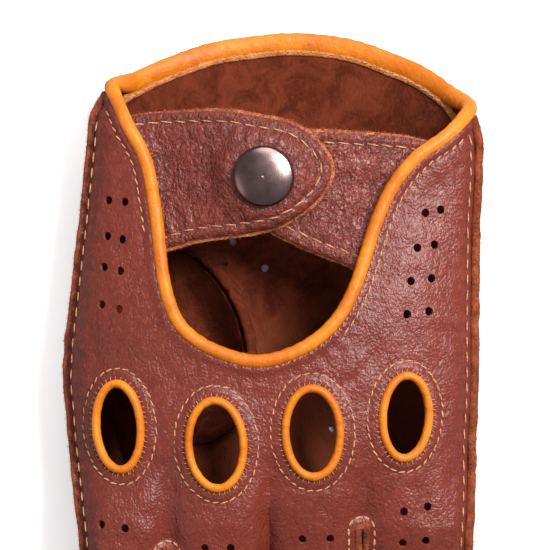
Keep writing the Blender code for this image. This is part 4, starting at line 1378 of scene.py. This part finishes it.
def thumb_cone(u, v):
    """The thumb's base, from the mouth in the palm (v = 0) to its joint (v = 1)."""
    angle = 2 * math.pi * u
    s, r = (THUMB_HOLE[0] - 0.3) * np.cos(angle), (THUMB_HOLE[1] - 0.3) * np.sin(angle)
    x, y = thumb_plan(s, r).T
    z = palm(to_q(x, y), y)[..., 2] - 0.6 * smooth(-0.4, 0.8, np.cos(angle))
    end = thumb_ring(np.full(len(u), THUMB_JOINT), angle)
    sag = 2.2 * np.sin(math.pi * v) * np.maximum(0.0, -np.cos(angle))
    slack = 0.35 * drift(angle * 14, v * 26, 51, 14) * np.sin(math.pi * v)
    z = np.maximum(0.0, (1 - v) * z + v * end[:, 2] - sag + slack)
    return np.stack([(1 - v) * x + v * end[:, 0], (1 - v) * y + v * end[:, 1], z], -1)


def cone_core(m):
    s, _ = thumb_frame(m[0], m[1])
    return thumb_middle(min(max(s, 4), 26), 7.5)


def thumb_core(m):
    s, _ = thumb_frame(m[0], m[1])
    return thumb_middle(min(s, THUMB_JOINT + THUMB_LENGTH - 8), 6.0)


cone = wrap_shell("thumb_base_skin", 96, 26, thumb_cone, [NAPPA, FLESH], cone_core, closed=True)
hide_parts("thumb_base")
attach(cone, "hand")
s_round, s_end = THUMB_JOINT + THUMB_LENGTH - 9.5, THUMB_JOINT + THUMB_LENGTH


def thumb_point(angle, v):
    """A point on the thumb: v runs from its joint to its tip."""
    phi = np.clip((v - 0.5) / 0.5, 0, 1) * 1.545
    s = THUMB_JOINT + (s_round - THUMB_JOINT) * np.minimum(1, v / 0.5) + (s_end - s_round) * np.sin(phi)
    return thumb_ring(s, angle, np.cos(phi))


start, end = [tuple(float(c) * MM for c in thumb_middle(s, 5.6)) for s in (THUMB_JOINT, THUMB_JOINT + 8.0)]
for name, low in (("thumb_inner", -math.pi / 2), ("thumb_outer", math.pi / 2)):

    def half(u, v, low=low):
        return thumb_point(low + 0.03 + (math.pi - 0.06) * u, v)

    half_skin = wrap_shell(f"{name}_skin", 36, 48, half, [NAPPA, FLESH], thumb_core)
    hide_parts(name)
    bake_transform(half_skin)
welts, threads = [], []
v = np.linspace(0, 0.97, 48)
for angle in (-math.pi / 2, math.pi / 2):
    p = thumb_point(np.full(48, angle), v)
    n = p - thumb_place(thumb_frame(p[:, 0], p[:, 1])[0], 0 * v, p[:, 2])
    n /= np.maximum(1e-6, np.linalg.norm(n, axis=1))[:, None]
    welts.append(tube(p + n * 0.5, n, 0.8, 1.0, sides=10, soft=0.06, seed=int(10 * angle + 40), square=0.55))
    for turn in (-0.28, 0.28):
        q = thumb_point(np.full(34, angle + turn), v[:34])
        m = q - thumb_place(thumb_frame(q[:, 0], q[:, 1])[0], 0 * v[:34], q[:, 2] * 0 + 5.6)
        threads.append(row(q, m / np.linalg.norm(m, axis=1)[:, None], 2.9, 2.1, 0.28, sink=0.02, seed=120))
for piece in (sewn("thumb_welts", RAW, of=welts), sewn("thumb_stitches", THREAD, of=threads)):
    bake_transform(piece)

# ---------------------------------------------------------------- strap
tab_line = softened([(-38.5, 82.4), (-33, 83.7)] + TAB + [(-29.0, 50.4)], 6)
under_line = softened([(40.5, 76.2)] + UNDER_TAB + [(23.8, 45.0)], 6)
tab_root = np.array([(-30.6, 57), (-32.4, 68), (-35.4, 77)])
under_root = np.array([(26.4, 54), (30.2, 63), (35.4, 70.5)])
snap_hole = oval(*SNAP, 4.2, 4.2, 0, 24)


def tab_relief(x, y):
    d, s = nearest(x, y, tab_line)
    z = -0.30 * groove(2.6, 0.5, d) + 0.28 * hump(0.0, 2.6, d) - 0.35 * (1 - smooth(0, 0.9, d))
    z = z + 0.16 * np.sin(2 * math.pi * s / 3.7) * hump(1.2, 7.5, d)
    r = np.hypot(x - SNAP[0], y - SNAP[1])
    turn = np.arctan2(y - SNAP[1], x - SNAP[0])
    z = z - 0.35 * groove(8.0, 1.2, r) + 0.10 * np.sin(26 * turn + 2 * np.sin(3 * turn)) * hump(7.0, 12.0, r)
    crease = drift(x * 0.8 + y * 0.5, y * 1.1 - x * 0.4, 8, 7.5)
    slack = 0.26 * crease + 0.14 * drift(x, y, 14, 3.4) + 0.06 * drift(x, y, 15, 1.6)
    return z + slack * smooth(2.4, 5, d) * smooth(7.5, 11, r)


def under_relief(x, y):
    d, s = nearest(x, y, under_line)
    z = -0.30 * groove(2.6, 0.5, d) + 0.28 * hump(0.0, 2.6, d)
    z = z + 0.16 * np.sin(2 * math.pi * s / 3.7) * hump(1.2, 7.5, d)
    crease = drift(x * 0.9 - y * 0.5, y + x * 0.3, 31, 7)
    return z + (0.36 * crease + 0.16 * drift(x, y, 17, 3.2) + 0.07 * drift(x, y, 18, 1.6)) * smooth(2.2, 5, d)


for name, out, edge, root, surface, relief, start, end in (
    ("strap_tab", 1, tab_line, tab_root, tab, tab_relief, (-31.0, 66.2, 27), (-21.6, 68.8, 27)),
    ("under_tab", -1, under_line, under_root, under, under_relief, (29.4, 61.1, 26), (21.2, 65.0, 26)),
):
    outline = np.vstack([edge, root])
    backing = np.vstack([sideways(edge, out * 0.75), root])
    low, high = outline.min(0) - 2, outline.max(0) + 2
    holes = [[snap_hole]]
    looks = [STRAP_NAPPA, FLESH, STRAP_RAW]
    grid = 0.6
    sheet = cut_sheet(f"{name}_skin", low, high, grid, looks, outline, holes, thickness=1.15)
    lay(sheet, surface, relief)
    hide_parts(f"{name}_leather", f"{name}_root")
    looks = [STRAP_RAW, FLESH, STRAP_RAW]
    lining = cut_sheet(f"{name}_backing", low, high, 1.2, looks, backing, holes, thickness=1.0)
    lay(lining, surface, lambda x, y, relief=relief: 0.2 * relief(x, y), stand=1.35)
    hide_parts(f"{name}_lining")
    line = spaced(sideways(edge, -out * 2.5), 0.5)
    n = facing(surface, line[:, 0], line[:, 1])
    p = surface(line[:, 0], line[:, 1]) + n * relief(line[:, 0], line[:, 1])[:, None]
    seam = sewn(f"{name}_stitches", THREAD, of=[row(p, n, 3.6, 2.8, 0.2, sink=-0.12, slant=-0.1, seed=70)])
    line = spaced(sideways(edge, out * 0.6), 0.5)
    n = facing(surface, line[:, 0], line[:, 1])
    p = surface(line[:, 0], line[:, 1]) - n * 1.3
    outward = np.gradient(line, axis=0)
    outward = np.stack([-outward[:, 1] * out, outward[:, 0] * out, 0 * line[:, 0]], 1)
    outward /= np.linalg.norm(outward, axis=1)[:, None]
    nap = sewn(f"{name}_fibres", FIBRE, of=[fibres(p, n, outward, 900, 0.7, 71)])
    for piece in (sheet, lining, seam, nap):
        tuple(c * MM for c in start)
        tuple(c * MM for c in end)
        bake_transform(piece)

# snap: a shallow dome with a pin mark in its middle and a rolled rim, and a post below
dome = TAB_Z + DOME
cap_profile = [(0, dome + 2.74), (0.16, dome + 2.76), (0.34, dome + 2.88), (0.6, dome + 2.9)]
for r in (1.2, 2.0, 3.0, 4.0, 5.0, 5.8, 6.4, 6.9):
    cap_profile.append((r, dome + 1.05 + 1.86 * math.sqrt(1 - (r / 7.55) ** 2)))
cap_profile += [(7.25, dome + 1.35), (7.42, dome + 0.95), (7.38, dome + 0.55), (7.1, dome + 0.28)]
cap_profile += [(6.4, dome + 0.25)]
post = [(1.8, dome + 0.25), (1.8, dome - 2.8), (0, dome - 2.8)]
cap = turned("snap_cap_dome", eased(cap_profile, 6) + post, SNAP, METAL)
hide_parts("snap_cap")
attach(cap, "strap_tab")
for node in ("snap_socket", "snap_stud", "snap_eyelet"):
    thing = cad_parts[node]
    thing.data.materials.clear()
    thing.data.materials.append(INNER_METAL)

# ---------------------------------------------------------------- stage, light and camera
# the floor glows except under the glove, so that no light comes up through its holes
made = bmesh.new()
bmesh.ops.create_grid(made, x_segments=1, y_segments=1, size=3.0)
floor = new_piece("floor", made, [])
paper = Finish("floor_paper", Roughness=0.9, Specular_IOR_Level=0.1, Emission_Strength=0.45)
paper_place = paper.start.node("ShaderNodeSeparateXYZ", Vector=paper.mm)
across, upward = paper.start.wrap(paper_place, 0) - 2, paper.start.wrap(paper_place, 1) - 94
outside = across.maths("MAXIMUM", across.maths("ABSOLUTE", across) - 44, upward)
paper.feed("Emission Color", outside.ramp(0, 5))
paper.feed("Base Color", paper.cloud(40, 2).ramp(0.2, 0.8).blend((0.93, 0.93, 0.93), (0.95, 0.95, 0.95)))
floor.data.materials.append(paper.material)
floor.location.z = -0.0005
floor.visible_glossy = False


def soft_light(name, place, size, power):
    """A round lamp that points at the middle of the hand."""
    lamp = bpy.data.lights.new(name, "AREA")
    lamp.shape, lamp.size, lamp.energy = "DISK", size, power
    thing = bpy.data.objects.new(name, lamp)
    bpy.context.scene.collection.objects.link(thing)
    thing.location = place
    way = Vector((0, 0.04, 0.02)) - Vector(place)
    thing.rotation_euler = way.to_track_quat("-Z", "Y").to_euler()


soft_light("key", (0.48, 0.40, 0.88), 0.5, 17)
soft_light("window", (0.10, 0.95, 0.80), 0.7, 6)
soft_light("fill", (-0.85, -0.25, 0.75), 0.8, 1.5)
world = bpy.data.worlds.new("studio")
world.use_nodes = True
world.node_tree.nodes["Background"].inputs[0].default_value = (1, 1, 1, 1)
world.node_tree.nodes["Background"].inputs[1].default_value = 0.30
bpy.context.scene.world = world

lens = bpy.data.cameras.new("camera")
camera = bpy.data.objects.new("camera", lens)
bpy.context.scene.collection.objects.link(camera)
camera.location = (0.0005, 0.0445, 1.23)
camera.rotation_euler = (0, 0, 0)
lens.sensor_width = 36
lens.lens = 36 * 1.20 / 0.1332
lens.clip_end = 20
bpy.context.scene.camera = camera
bpy.context.scene.view_settings.view_transform = "Standard"
